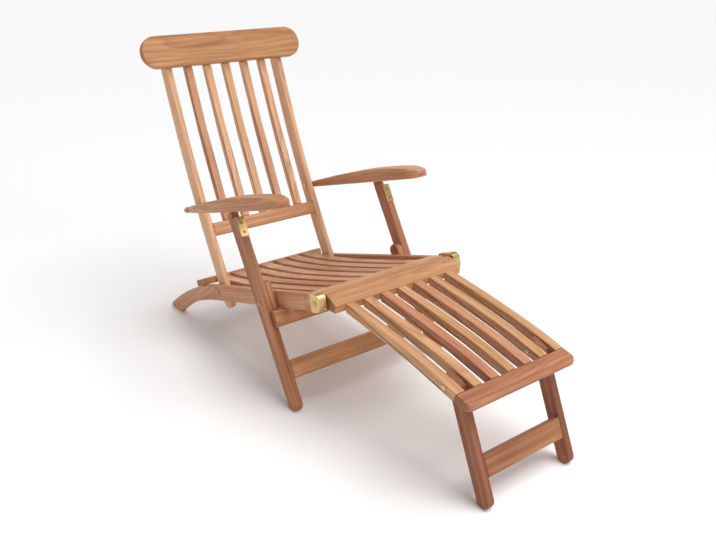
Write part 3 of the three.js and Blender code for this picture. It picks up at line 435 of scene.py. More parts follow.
def counterclockwise(outline):
    """The outline, turned round if it runs clockwise: its signed area is half the sum of x dz - z dx."""
    x, z = outline.T
    area = (x * np.roll(z, -1) - np.roll(x, -1) * z).sum()
    return outline if area > 0 else outline[::-1]


def inward(outline):
    """At each point of a counterclockwise outline, the vector that moves both its edges in by 1."""
    edge = np.roll(outline, -1, 0) - outline
    edge = edge / np.linalg.norm(edge, axis=1)[:, None]
    normal = np.stack([-edge[:, 1], edge[:, 0]], 1)
    previous = np.roll(normal, 1, 0)
    return (normal + previous) / (1 + (normal * previous).sum(1))[:, None]


# Surfaces: arrays of rings of points

def carried(flat, across):
    """Rings of (x, y, z) from rings of side-view points (x, z), each at its own place across the chair."""
    return np.stack([flat[..., 0], np.broadcast_to(across[:, None], flat.shape[:2]), flat[..., 1]], -1)


def board_rings(outline, low, high, edge, steps=4):
    """A board: an outline carried across the chair from face low to face high.

    Near a face, the ring at edge (1 - cos a) from the face is drawn in by edge (1 - sin a), a quarter round.
    """
    outline = counterclockwise(outline)
    turns = np.linspace(0, math.pi / 2, steps + 1)
    depth, drawn = edge * (1 - np.cos(turns)), edge * (1 - np.sin(turns))
    across = np.concatenate([low + depth, (high - depth)[::-1]])
    drawn = np.concatenate([drawn, drawn[::-1]])
    return carried(outline[None] + drawn[:, None, None] * inward(outline)[None], across)


def turned_rings(profile, centre, segments=32):
    """A turned piece: each (radius, y) of the profile is a circle about the line through centre along Y."""
    turns = np.linspace(0, 2 * math.pi, segments, endpoint=False)
    radius, across = np.asarray(profile, float).T[:, :, None]
    x = centre[0] + radius * np.cos(turns)
    z = centre[1] + radius * np.sin(turns)
    return np.stack([x, np.broadcast_to(across, x.shape), z], -1)


def ring_faces(rings, count):
    """Quads between neighbouring rings of count points, as rows of four indices."""
    i = np.arange(rings - 1)[:, None] * count
    j = np.arange(count)[None]
    k = (j + 1) % count
    return np.stack([i + j, i + count + j, i + count + k, i + k], -1).reshape(-1, 4)


def volume(points, quads):
    """Six times the volume under the quads as seen from the first point, signed."""
    a, b, c, d = (points[quads[:, k]] - points[0] for k in range(4))
    return (a * np.cross(b, c)).sum() + (a * np.cross(c, d)).sum()


def chance(name):
    """A random generator for a name, the same in every run."""
    return np.random.default_rng(zlib.crc32(name.encode()))


def grain_axes(grain):
    """Rows: along the grain, and two directions across it, for an angle in the side view or for "across"."""
    if grain == "across":
        return np.array([[0, 1, 0], [1, 0, 0], [0, 0, 1]], float)
    along = np.array([math.cos(grain), 0, math.sin(grain)])
    through = np.array([-math.sin(grain), 0, math.cos(grain)])
    return np.array([along, [0, 1, 0], through])


def set_attribute(mesh, name, kind, domain, values):
    """Puts an array into a mesh attribute, made anew."""
    if name in mesh.attributes:
        mesh.attributes.remove(mesh.attributes[name])
    attribute = mesh.attributes.new(name, kind, domain)
    key = "value" if kind == "FLOAT" else "vector"
    attribute.data.foreach_set(key, np.asarray(values, np.float32).ravel())


def make_mesh(name, rings):
    """A closed mesh of quads between rings, with one flat face over the first ring and one over the last."""
    rings_count, count = rings.shape[:2]
    points = rings.reshape(-1, 3)
    quads = ring_faces(rings_count, count)
    first = np.arange(count)
    last = first + (rings_count - 1) * count
    if volume(points, quads) < 0:
        quads = quads[:, ::-1]
    else:
        first, last = first[::-1], last[::-1]
    mesh = bpy.data.meshes.new(name)
    mesh.from_pydata(points.tolist(), [], [*quads.tolist(), first[::-1].tolist(), last.tolist()])
    return mesh


FACE_WEIGHT = 100  # the even normals follow the larger faces fully


def new_object(name, data):
    """A new object of the scene, at the origin."""
    made = bpy.data.objects.new(name, data)
    bpy.context.scene.collection.objects.link(made)
    return made


def add_piece(mesh, material):
    """A mesh as a piece at the origin, shaded smoothly with even normals on its flat faces."""
    piece = new_object(mesh.name, mesh)
    mesh.materials.append(material)
    mesh.shade_smooth()
    even = piece.modifiers.new("Even normals", "WEIGHTED_NORMAL")
    even.keep_sharp = True
    even.weight = FACE_WEIGHT
    return piece


def body_of(node):
    """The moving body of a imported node."""
    return frame["nodes"][node]["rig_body"]


def faces_across(node):
    """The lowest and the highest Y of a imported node."""
    low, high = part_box(node)
    return low.y, high.y


# How pale rather than dark, and how yellow rather than pink, a board is, by the start of its name. 0 is the
# plain wood, and 1 or -1 is a strong difference
BOARD_TONES = {
    "": (0.0, 0.0),
    "arm": (0.45, 0.1),
    "back_slat_1": (0.6, -0.5),
    "back_slat_2": (1.4, -0.3),
    "back_slat_3": (1.3, 0.8),
    "back_slat_4": (0.8, -0.5),
    "back_slat_5": (1.1, -0.3),
    "back_stile_left": (1.4, 0.4),
    "back_stile_right": (1.3, -0.3),
    "footrest_end_rail": (-0.3, -0.5),
    "footrest_leg": (-1.5, -0.4),
    "footrest_leg_crossbar": (-0.9, 0.1),
    "footrest_rail": (0.15, 0.5),
    "footrest_rear_rail": (-0.25, 0.4),
    "footrest_slat_1": (0.2, 0.6),
    "footrest_slat_2": (0.15, -0.8),
    "footrest_slat_3": (0.4, 0.6),
    "footrest_slat_4": (0.25, -0.6),
    "footrest_slat_5": (0.3, 0.4),
    "front_board": (0.4, 0.5),
    "front_leg": (-0.2, -0.3),
    "headrest": (0.0, 0.4),
    "hinge_block": (-0.3, -0.4),
    "leg_crossbar": (-0.1, 0.1),
    "leg_spacer": (-0.3, -0.2),
    "lower_back_rail": (0.2, 0.1),
    "rear_foot": (0.1, -0.2),
    "seat_plug": (-0.9, -0.5),
    "seat_rail": (0.15, -0.1),
    "seat_slat_2": (0.1, -0.7),
    "seat_slat_5": (0.1, -0.7),
    "seat_slat": (0.25, 0.2),
}
TONE_CHANCE = (0.12, 0.15, 1)  # how far chance moves a board's two tones, and the heart of its tree
LOG_REACH = 5  # metres from the middle of the tree, along the grain, within which a board lies
LOG_RADIUS = 0.07  # the same across the grain
END_START = 0.55  # a face starts to show end grain at this cosine between its normal and the grain
END_FADE = 0.4  # over which it comes to show it fully


def board_tone(name):
    """A board's tone, from the longest start of its name that the table has."""
    return BOARD_TONES[max((start for start in BOARD_TONES if name.startswith(start)), key=len)]


def mark_grain(mesh, name, grain, end_grain=True):
    """Gives a wooden mesh its grain: a place in the tree, its own tone, and where the end grain shows.

    grain is an angle in the side view, or "across", or the three axes of the grain as rows.
    """
    axes = grain if isinstance(grain, np.ndarray) else grain_axes(grain)
    draw = chance(name)
    points = np.empty(len(mesh.vertices) * 3, np.float32)
    mesh.vertices.foreach_get("co", points)
    points = points.reshape(-1, 3).astype(float)
    along = draw.uniform(-LOG_REACH, LOG_REACH)
    offset = np.array([along, *draw.uniform(-LOG_RADIUS, LOG_RADIUS, 2)])
    places = (points - points.mean(0)) @ axes.T + offset
    set_attribute(mesh, "grain", "FLOAT_VECTOR", "POINT", places)
    tone = np.array([*board_tone(name), 0]) + draw.uniform(-1, 1, 3) * TONE_CHANCE
    set_attribute(mesh, "board", "FLOAT_VECTOR", "POINT", np.tile(tone, (len(points), 1)))
    normals = np.empty(len(mesh.polygons) * 3, np.float32)
    mesh.polygons.foreach_get("normal", normals)
    ends = np.abs(normals.reshape(-1, 3) @ axes[0]) if end_grain else np.zeros(len(mesh.polygons))
    set_attribute(mesh, "end_grain", "FLOAT", "FACE", np.clip((ends - END_START) / END_FADE, 0, 1))


def wooden(node, rings, grain, slot="teak"):
    """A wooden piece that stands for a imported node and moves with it."""
    mesh = make_mesh(f"{node}_teak", rings)
    mark_grain(mesh, node, grain)
    piece = add_piece(mesh, teak(slot))
    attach(piece, body_of(node))
    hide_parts(node)
    return piece


def brass_piece(node, rings):
    """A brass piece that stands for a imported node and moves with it."""
    piece = add_piece(make_mesh(f"{node}_brass", rings), brass())
    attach(piece, body_of(node))
    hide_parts(node)


def board(node, outline, grain, slot="teak"):
    """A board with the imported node's faces across the chair and a given outline in the side view."""
    wooden(node, board_rings(outline, *faces_across(node), settings().edges.edge), grain, slot)


def settings():
    """The chair's sizes and finishes."""
    return bpy.context.scene.deck_chair


# The frames of the chair's parts in the side view

def seat_frame():
    """Along the rails' tops, with its origin over the leg bolt."""
    seat = settings().seat
    origin = PIVOTS["leg_fold"] + toward(seat.slope + math.pi / 2, seat.bolt_depth)
    return SideFrame(origin, seat.slope)


def leg_frame():
    """Z along the front legs, with its origin at the leg bolt."""
    return SideFrame(PIVOTS["leg_fold"], settings().leg.lean)


def arm_frame():
    """Along the arms, with its origin at the arm bolt."""
    return SideFrame(PIVOTS["arm_fold"], settings().seat.slope)


def back_frame():
    """Upright, with its origin at the back's bolt."""
    return SideFrame(PIVOTS["back_fold"])


def footrest_frame():
    """Upright, with its origin at the footrest's pin."""
    return SideFrame(PIVOTS["footrest_fold"])


def foot_leg_frame():
    """Z along the footrest's legs, with its origin at their bolt."""
    return SideFrame(PIVOTS["footrest_leg_fold"], settings().footrest.leg_lean)


def rounded_foot(side, depth, flat_length):
    """The end of a leg that stands on the ground: a half circle with a short flat where it touches."""
    radius = depth / 2
    flat = math.asin(flat_length / 2 / radius)
    rise = radius * math.cos(flat)
    centre = at(0, -(side.origin[1] - rise) / math.cos(side.turn))
    down = -math.pi / 2 - side.turn
    return np.vstack([
        arc(centre, radius, -math.pi, down - flat, steps=8),
        arc(centre, radius, down + flat, 0, steps=14),
    ])


def height_across(side, a, b, clearance):
    """Gives a function of x in the leg frame: the height a clearance below a line.

    The line runs through points a and b of another frame.
    """
    (x0, z0), (x1, z1) = (leg_frame().into(side.out(p)) for p in (a, b))
    return lambda x: z0 + (x - x0) * (z1 - z0) / (x1 - x0) - clearance


def under_arm_height(chair):
    """The function of x in the leg frame that gives the height just below the arm's underside."""
    rear, front = at(0, -chair.arm.under), at(chair.arm.reach, -chair.arm.under)
    return height_across(arm_frame(), rear, front, chair.leg.rest_clearance)


# Finishes

class Value:
    """What a shader node gives. Sums, products and powers of numbers add Math nodes."""

    def __init__(self, paint, socket):
        self.paint = paint
        self.socket = socket

    def __add__(self, other):
        return self.paint.math("ADD", self, other)

    def __sub__(self, other):
        return self.paint.math("SUBTRACT", self, other)

    def __mul__(self, other):
        return self.paint.math("MULTIPLY", self, other)

    def __truediv__(self, other):
        return self.paint.math("DIVIDE", self, other)

    def __pow__(self, other):
        return self.paint.math("POWER", self, other)

    def __rsub__(self, other):
        return self.paint.math("SUBTRACT", other, self)

    __radd__ = __add__
    __rmul__ = __mul__


class Paint:
    """The node tree of a material that ends in one shader."""

    def __init__(self, name):
        self.material = bpy.data.materials.new(name)
        self.material.use_nodes = True
        self.tree = self.material.node_tree
        self.tree.nodes.clear()
        output = self.tree.nodes.new("ShaderNodeOutputMaterial")
        self.shader = self.tree.nodes.new("ShaderNodeBsdfPrincipled")
        self.tree.links.new(self.shader.outputs[0], output.inputs[0])

    def node(self, kind, options=None, sockets=None, result=0):
        """One output of a node of any type.

        Its options are set first, and then its sockets, by name or number.
        """
        made = self.tree.nodes.new(kind)
        for key, value in (options or {}).items():
            setattr(made, key, value)
        for key, value in (sockets or {}).items():
            self.feed(made.inputs[key], value)
        return Value(self, made.outputs[result])

    def feed(self, socket, value):
        """Sets a socket, or links a value to it."""
        if isinstance(value, Value):
            self.tree.links.new(value.socket, socket)
        elif hasattr(value, "__len__") and socket.type == "RGBA":
            socket.default_value = (*value[:3], 1)
        else:
            socket.default_value = value

    def math(self, operation, a, b=0.0, clamp=False):
        """One Math node."""
        return self.node("ShaderNodeMath", {"operation": operation, "use_clamp": clamp}, {0: a, 1: b})

    def mix(self, factor, a, b):
        """Colour a changed towards colour b."""
        options = {"data_type": "RGBA", "clamp_factor": True}
        return self.node("ShaderNodeMix", options, {0: factor, 6: a, 7: b}, result=2)

    def attribute(self, name, result):
        """A mesh attribute: result 1 is its vector, and 2 its number."""
        return self.node("ShaderNodeAttribute", {"attribute_name": name}, result=result)

    def parts(self, vector):
        """The three numbers of a vector."""
        first = self.node("ShaderNodeSeparateXYZ", sockets={0: vector})
        return [Value(self, output) for output in first.socket.node.outputs]

    def noise(self, place, layers):
        """By name, noise of a place whose axes are scaled: layers holds (stretch, detail, roughness)."""
        made = {}
        for name, (stretch, detail, roughness) in layers.items():
            scaled = self.node("ShaderNodeVectorMath", {"operation": "MULTIPLY"}, {0: place, 1: stretch})
            sockets = {"Vector": scaled, "Scale": 1.0, "Detail": detail, "Roughness": roughness}
            made[name] = self.node("ShaderNodeTexNoise", {"noise_dimensions": "3D"}, sockets)
        return made

    def bump(self, strength, distance, height):
        """A normal bent by a height."""
        sockets = {"Strength": strength, "Distance": distance, "Height": height}
        return self.node("ShaderNodeBump", sockets=sockets)

    def steps(self, value, low, high):
        """0 below low, 1 above high, and a smooth slope between them."""
        return self.node(
            "ShaderNodeMapRange",
            {"interpolation_type": "SMOOTHSTEP"},
            {"Value": value, "From Min": low, "From Max": high},
        )

    def finish(self, **sockets):
        """Feeds the shader's sockets, whose names are given with underscores for spaces."""
        for key, value in sockets.items():
            self.feed(self.shader.inputs[key.replace("_", " ")], value)
        return self.material


NOISE_MEAN = 0.5
TONES = {"teak_pale": 0.12, "teak": 0.0, "teak_dark": -0.12}

# The teak's noise: how fast it changes along the grain and in two directions across it, its detail and its
# roughness
WOOD_LAYERS = {
    "bend": ((2.2, 9, 9), 2.0, 0.5),
    "ripple": ((5, 70, 70), 2.0, 0.5),
    "broad": ((1.6, 75, 75), 2.5, 0.55),
    "fine": ((6, 420, 420), 3.0, 0.6),
    "fibre": ((22, 1500, 1500), 2.0, 0.6),
    "cloud": ((3.0, 16, 16), 2.0, 0.5),
    "pore": ((45, 2300, 2300), 1.0, 0.5),
}
RING_BEND = 0.060  # metres that slow noise moves the growth rings
HEART_CHANCE = 0.020  # metres that the heart of the tree lies nearer or farther
RING_RIPPLE = 0.7  # widths of a ring that finer noise moves it
LATE_START, LATE_END = 0.35, 0.95  # where in a ring the dark late wood sets in, and is darkest
PORE_EDGES = (0.60, 0.72)  # noise between which a pore begins
TONE_STRENGTH = 0.62
BROAD_STRENGTH, FINE_STRENGTH, CLOUD_STRENGTH = 2.4, 1.3, 1.4
DARK_STRENGTH = 0.9  # of the dark streaks beside the pale ones
FIBRE_STRENGTH, FIBRE_DARKNESS = 0.5, 0.12
END_DARKNESS = 0.5
WOOD_BUMP = 0.6
FINE_RELIEF, FIBRE_RELIEF, PORE_RELIEF = 0.5, 0.35, 0.5
FINE_ROUGHNESS, PORE_ROUGHNESS = 0.18, 0.15

# The same three things for the noise of the brass and of its screws
BRASS_LAYERS = {
    "cloud": ((60, 60, 60), 4.0, 0.6),
    "speck": ((500, 500, 500), 2.0, 0.5),
    "brushed": ((180, 2600, 180), 2.0, 0.5),
}
SCREW_LAYERS = {"cloud": ((300, 300, 300), 3.0, 0.5)}
CLOUD_EDGES, SPECK_EDGES = (0.48, 0.72), (0.62, 0.75)  # noise between which the metal turns dull
CLOUD_DULLNESS, SPECK_DULLNESS = 0.55, 0.25
DULL_ROUGHNESS, BRUSHED_ROUGHNESS = 0.25, 0.08
BRASS_BUMP = 0.25
BRASS_RELIEF = 0.0001
SCREW_DARK = (0.16, 0.10, 0.04)
SCREW_EDGES = (0.4, 0.7)
SCREW_ROUGHNESS, SCREW_UNEVENNESS = 0.3, 0.2


def teak(slot):
    """Oiled teak. Its grain is solid: rings about a distant heart, long streaks, and short fine pores."""
    name = f"oiled_{slot}"
    found = bpy.data.materials.get(name)
    if found:
        return found
    wood = settings().wood
    paint = Paint(name)
    place = paint.attribute("grain", 1)
    tone, yellow, heart = paint.parts(paint.attribute("board", 1))
    end = paint.attribute("end_grain", 2)
    noise = paint.noise(place, WOOD_LAYERS)
    fine, fibre = noise["fine"], noise["fibre"]

    # Growth rings: the distance from the heart, bent by slow noise, over the ring's width
    y, z = paint.parts(place)[1:]
    out = (y * y + z * z) ** 0.5 + noise["bend"] * RING_BEND + heart * HEART_CHANCE
    ring = paint.math("FRACT", out / wood.ring_width + noise["ripple"] * RING_RIPPLE)
    late = paint.steps(ring, LATE_START, LATE_END) * (1 - paint.steps(ring, LATE_END, 1.0))
    pore = paint.steps(noise["pore"], *PORE_EDGES)

    # The board's own colour, then its streaks, and then what darkens it
    base = paint.mix(yellow, wood.base, wood.gold)
    base = paint.mix(yellow * -1, base, wood.rose)
    broad_streak = (noise["broad"] - NOISE_MEAN) * (BROAD_STRENGTH * wood.streaks)
    streak = broad_streak + (fine - NOISE_MEAN) * (FINE_STRENGTH * wood.streaks)
    lift = tone * TONE_STRENGTH + TONES[slot]
    light = streak + lift + (noise["cloud"] - NOISE_MEAN) * CLOUD_STRENGTH
    tint = paint.mix(paint.math("MULTIPLY", light, 1.0, clamp=True), base, wood.pale)
    tint = paint.mix(paint.math("MULTIPLY", light, -DARK_STRENGTH, clamp=True), tint, wood.deep)
    tint = paint.mix(late * wood.figure, tint, wood.deep)
    tint = paint.mix((fibre - NOISE_MEAN) * FIBRE_STRENGTH + FIBRE_DARKNESS, tint, wood.deep)
    tint = paint.mix(pore * wood.pores, tint, wood.deep)
    tint = paint.mix(end * END_DARKNESS, tint, wood.deep)

    height = fine * FINE_RELIEF + fibre * FIBRE_RELIEF - pore * PORE_RELIEF
    bump = paint.bump(WOOD_BUMP, wood.relief, height)
    rough = (fine - NOISE_MEAN) * FINE_ROUGHNESS + pore * PORE_ROUGHNESS + wood.roughness
    return paint.finish(Base_Color=tint, Roughness=rough, Normal=bump)


def brass():
    """Lightly tarnished brass: slow cloudy noise between bright and dull metal, with fine scratches."""
    name = "aged_brass"
    found = bpy.data.materials.get(name)
    if found:
        return found
    metal = settings().brass
    paint = Paint(name)
    noise = paint.noise(paint.node("ShaderNodeTexCoord", result=3), BRASS_LAYERS)
    cloud, brushed = noise["cloud"], noise["brushed"]
    clouded = paint.steps(cloud, *CLOUD_EDGES) * CLOUD_DULLNESS
    dull = clouded + paint.steps(noise["speck"], *SPECK_EDGES) * SPECK_DULLNESS
    tint = paint.mix(dull, metal.bright, metal.dull)
    bump = paint.bump(BRASS_BUMP, BRASS_RELIEF, brushed + cloud)
    rough = dull * DULL_ROUGHNESS + (brushed - NOISE_MEAN) * BRUSHED_ROUGHNESS + metal.roughness
    return paint.finish(Base_Color=tint, Roughness=rough, Normal=bump, Metallic=1.0)


def screw_metal():
    """Dark brass screws."""
    name = "screw_brass"
    found = bpy.data.materials.get(name)
    if found:
        return found
    paint = Paint(name)
    cloud = paint.noise(paint.node("ShaderNodeTexCoord", result=3), SCREW_LAYERS)["cloud"]
    tint = paint.mix(paint.steps(cloud, *SCREW_EDGES), settings().brass.dull, SCREW_DARK)
    rough = cloud * SCREW_UNEVENNESS + SCREW_ROUGHNESS
    return paint.finish(Base_Color=tint, Roughness=rough, Metallic=1.0)


# Seat frame

def board_front():
    """The front face of the front board, from the seat frame's origin."""
    s = settings()
    return s.hinge.pin_reach - s.hinge.pin_depth - s.seat.board_clearance


def rear_foot_top():
    """The control points of the rear foot's top, in the seat frame."""
    seat, frame_here = settings().seat, seat_frame()
    joint = at(-seat.joint_reach, 0)
    return joint, at(-seat.joint_reach - seat.foot_bend, 0), frame_here.into(at(toe_x(), seat.foot_round))


def toe_x():
    """Where the rear foot's toe stands."""
    seat, leg = settings().seat, leg_frame()
    ground = leg.origin[0] + leg.origin[1] * math.tan(leg.turn)
    return ground - seat.foot_reach


def bar_frame():
    """On the rear foot's curved top, under the middle of the rear crossbar."""
    seat = settings().seat
    line = quadratic(*rear_foot_top(), steps=400)
    middle = np.array([np.interp(seat.bar_reach, -line[:, 0], line[:, k]) for k in range(2)])
    nearest = np.abs(line[:, 0] - middle[0]).argmin()
    slope = line[nearest - 1] - line[nearest + 1]
    return SideFrame(middle, turn_of(slope))


class DeckChairOperator:
    """What the chair's operators share"""

    bl_options = {"REGISTER", "UNDO"}

    def execute(self, context):
        """Makes the pieces."""
        self.make(context.scene.deck_chair)
        return {"FINISHED"}


class SeatRails(DeckChairOperator, Operator):
    """Side rails of the seat, with a cut corner under the front end"""

    bl_idname = "deck_chair.seat_rails"
    bl_label = "Seat rails"

    def make(self, chair):
        """An outline of straight sides with eased corners, under the front board's lip."""
        seat, edges = chair.seat, chair.edges
        front = board_front()
        back = front - seat.board_width - edges.gap
        under_lip = -seat.board_lip - edges.gap
        outline = eased(
            ([
                at(-seat.joint_reach - seat.joint_rake + edges.gap, -seat.rail_depth),
                at(front - seat.rail_front_cut, -seat.rail_depth),
                at(front, -seat.rail_depth + seat.rail_front_cut),
                at(front, under_lip),
                at(back, under_lip),
                at(back, 0),
                at(-seat.joint_reach + edges.gap, 0),
            ], edges.corner),
        )
        for side in SIDES:
            board(f"seat_rail_{side}", seat_frame().out(outline), seat.slope)


class RearFeet(DeckChairOperator, Operator):
    """Curved rear feet, jointed to the rails"""

    bl_idname = "deck_chair.rear_feet"
    bl_label = "Rear feet"

    def make(self, chair):
        """Two quadratic curves from the joint to the toe and the heel, with a flat on the ground."""
        seat, here, corner = chair.seat, seat_frame(), chair.edges.corner
        toe = toe_x()
        flat_back = here.into(at(toe + seat.foot_round, 0))
        flat_front = here.into(at(toe + seat.foot_round + seat.foot_flat, 0))
        heel = here.into(at(toe + 2 * seat.foot_round + seat.foot_flat, seat.foot_round))
        bend = at(-seat.joint_reach - seat.foot_bend, -seat.rail_depth)
        joint_foot = at(-seat.joint_reach - seat.joint_rake, -seat.rail_depth)
        top = quadratic(*rear_foot_top(), steps=24)
        under = quadratic(heel, bend, joint_foot, steps=18)
        outline = eased(
            (top[:1], corner), (top[1:-1], 0), (top[-1:], 2 * corner), (flat_back, corner),
            (flat_front, corner), (under[:1], 2 * corner), (under[1:-1], 0), (under[-1:], corner),
        )
        lean = turn_of(here.out(top[len(top) // 2]) - here.out(top[-1]))
        for side in SIDES:
            board(f"rear_foot_{side}", here.out(outline), lean)


class RearCrossbar(DeckChairOperator, Operator):
    """The bar across the rear feet that the seat slats end on"""

    bl_idname = "deck_chair.rear_crossbar"
    bl_label = "Rear crossbar"

    def make(self, chair):
        """A rectangle with eased corners."""
        seat, edges = chair.seat, chair.edges
        corners = rectangle(-seat.bar_width / 2, seat.bar_width / 2, edges.gap, seat.bar_thickness)
        outline = eased((corners, edges.corner))
        board("rear_crossbar", seat_frame().out(bar_frame().out(outline)), "across")


class FrontBoard(DeckChairOperator, Operator):
    """The board across the front ends of the rails, with a rounded nose and thin ends over the rails"""

    bl_idname = "deck_chair.front_board"
    bl_label = "Front board"
    LOWER_SHARE = 0.8  # rounding of the lower corners, of the usual edge
    END_SHARE = 0.7  # rounding of the end faces, of the usual edge

    def make(self, chair):
        """Rings across the chair: the lip's outline over the rails, and the full one between them."""
        seat, edges = chair.seat, chair.edges
        front = board_front()
        back = front - seat.board_width
        low, high = faces_across("front_board")
        inner = faces_across("seat_rail_right")[0] - edges.gap

        def outline(thickness):
            """The board's outline at one of its two thicknesses."""
            lower = [at(back, -thickness), at(front, -thickness)]
            upper = [at(front, 0), at(back, 0)]
            points = eased((lower, self.LOWER_SHARE * edges.edge), (upper, edges.corner))
            return counterclockwise(seat_frame().out(points))

        lip, full = outline(seat.board_lip), outline(seat.board_thickness)
        ends = board_rings(lip, low, high, self.END_SHARE * edges.edge)
        count = len(ends) // 2
        middle = carried(np.stack([lip, full, full, lip]), np.array([-inner, -inner, inner, inner]))
        wooden("front_board", np.vstack([ends[:count], middle, ends[count:]]), "across", "teak_pale")


class SeatSlats(DeckChairOperator, Operator):
    """The dished seat slats, and the plugs over their rear screws"""

    bl_idname = "deck_chair.seat_slats"
    bl_label = "Seat slats"
    # Along the slat from its front, and how far it sinks there, of the dish
    DISH_SHARES = ((0.2, 1), (0.5, 1), (0.68, 0.35), (0.8, -0.6), (0.9, -1.5))
    PLUG_AHEAD = 0.01  # how far ahead of a plug its slope is taken
    COUNT = 7

    def make(self, chair):
        """A spline through the dish for the top, and a line that runs one thickness below it."""
        seat, edges = chair.seat, chair.edges
        front = at(board_front() - seat.board_width - edges.gap, -seat.slat_step)
        rear = bar_frame().out(at(seat.bar_width / 2 + edges.gap, seat.bar_thickness))
        dish = [
            at(front[0] + along * (rear[0] - front[0]), -dip * seat.slat_dish)
            for along, dip in self.DISH_SHARES
        ]
        line = Line(spline([rear, *dish[::-1], front]))
        under_rear = bar_frame().out(
            at(seat.bar_width / 2 + edges.gap, seat.bar_thickness - seat.slat_thickness)
        )
        lengths = np.linspace(0, line.length, 41)
        top = line.at(lengths)
        below = line.at(lengths, -seat.slat_thickness)
        firm = FIRM_SHARE * edges.corner
        outline = eased(
            (top[:1], firm), (top[1:-1], 0), (top[-1:], edges.corner),
            (front - at(0, seat.slat_thickness), firm), (below[1:-1][::-1], 0), (under_rear, firm),
        )
        outline = seat_frame().out(outline)
        plug = seat_frame().out(line.at(seat.plug_inset))
        ahead = seat_frame().out(line.at(seat.plug_inset + self.PLUG_AHEAD)) - plug
        turn = turn_of(ahead)
        for i in range(1, self.COUNT + 1):
            board(f"seat_slat_{i}", outline, seat.slope, "teak" if i % 3 == 2 else "teak_pale")
            middle = sum(faces_across(f"seat_slat_{i}")) / 2
            add_plug(f"seat_plug_{i}", "seat", plug, middle, turn, seat.plug_radius)


# A plug's rings: each one's radius, as a share of the plug's, and its height over the slat
PLUG_RINGS = ((1.0, -0.0006), (1.0, 0.00005), (0.93, 0.00018), (0.5, 0.0002))


def add_plug(name, body, spot, across, turn, radius):
    """A wooden plug over a screw: a low turned button that stands hardly proud, with its grain across."""
    turns = np.linspace(0, 2 * math.pi, 24, endpoint=False)
    shares, rise = np.array(PLUG_RINGS).T
    reach = radius * shares
    u = reach[:, None] * np.cos(turns)
    v = reach[:, None] * np.sin(turns)
    along, up = toward(turn), toward(turn + math.pi / 2)
    x = spot[0] + along[0] * u + up[0] * rise[:, None]
    z = spot[1] + along[1] * u + up[1] * rise[:, None]
    mesh = make_mesh(name, np.stack([x, across + v, z], -1))
    mark_grain(mesh, name, "across", end_grain=False)
    piece = add_piece(mesh, teak("teak_dark"))
    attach(piece, body)


# Hinges and bolts

BLOCK_CORNER_SHARE = 0.6  # rounding of the block's rear corners, of the usual one
RIM_SHARE = 0.3  # height of a dome's upright rim, of the dome's
FLAT_SHARE = 0.35  # radius of a dome's flat top, of the dome's


def nose_outline(chair, tail, grow):
    """The hinge block's outline in the seat frame: straight behind, with two quarter rounds at the nose."""
    hinge = chair.hinge
    x, z = hinge.pin_reach, -hinge.pin_depth
    top, bottom = z + hinge.block_height / 2 + grow, z - hinge.block_height / 2 - grow
    radius = hinge.block_round + grow
    front = x + hinge.block_nose + grow - radius
    nose = np.vstack([
        arc(at(front, bottom + radius), radius, -math.pi / 2, 0),
        arc(at(front, top - radius), radius, 0, math.pi / 2),
    ])
    corners = [at(x - tail, top), at(x - tail, bottom)]
    return eased((nose, 0), (corners, BLOCK_CORNER_SHARE * min(chair.edges.corner, radius)))


class HingeBlocks(DeckChairOperator, Operator):
    """Wooden blocks that carry the footrest, and their brass caps"""

    bl_idname = "deck_chair.hinge_blocks"
    bl_label = "Hinge blocks"

    def make(self, chair):
        """The block's outline, and the same outline grown by the cap's wall."""
        hinge, gap = chair.hinge, chair.edges.gap
        block = seat_frame().out(nose_outline(chair, hinge.block_tail, 0))
        cap = seat_frame().out(nose_outline(chair, hinge.cap_tail, gap + hinge.cap_wall))
        for side in SIDES:
            board(f"hinge_block_{side}", block, chair.seat.slope)
            low, high = faces_across(f"hinge_cap_{side}")
            brass_piece(f"hinge_cap_{side}", board_rings(cap, low, high, 2 * chair.edges.metal_edge))


def disc(radius, start, end):
    """The (radius, y) of a disc whose rims are eased by a sixth of its thickness."""
    ease = (end - start) / 6
    return [[radius - ease, start], [radius, start + ease], [radius, end - ease], [radius - ease, end]]


def dome(radius, start, end):
    """The (radius, y) of a dome: a low upright rim, then a quarter ellipse to a small flat top."""
    turns = np.linspace(0, math.pi / 2, 6)
    rim = start + RIM_SHARE * (end - start)
    reach = radius * (FLAT_SHARE + (1 - FLAT_SHARE) * np.cos(turns))
    curve = np.stack([reach, rim + (end - rim) * np.sin(turns)], 1)
    return [[radius, start], *curve.tolist()]


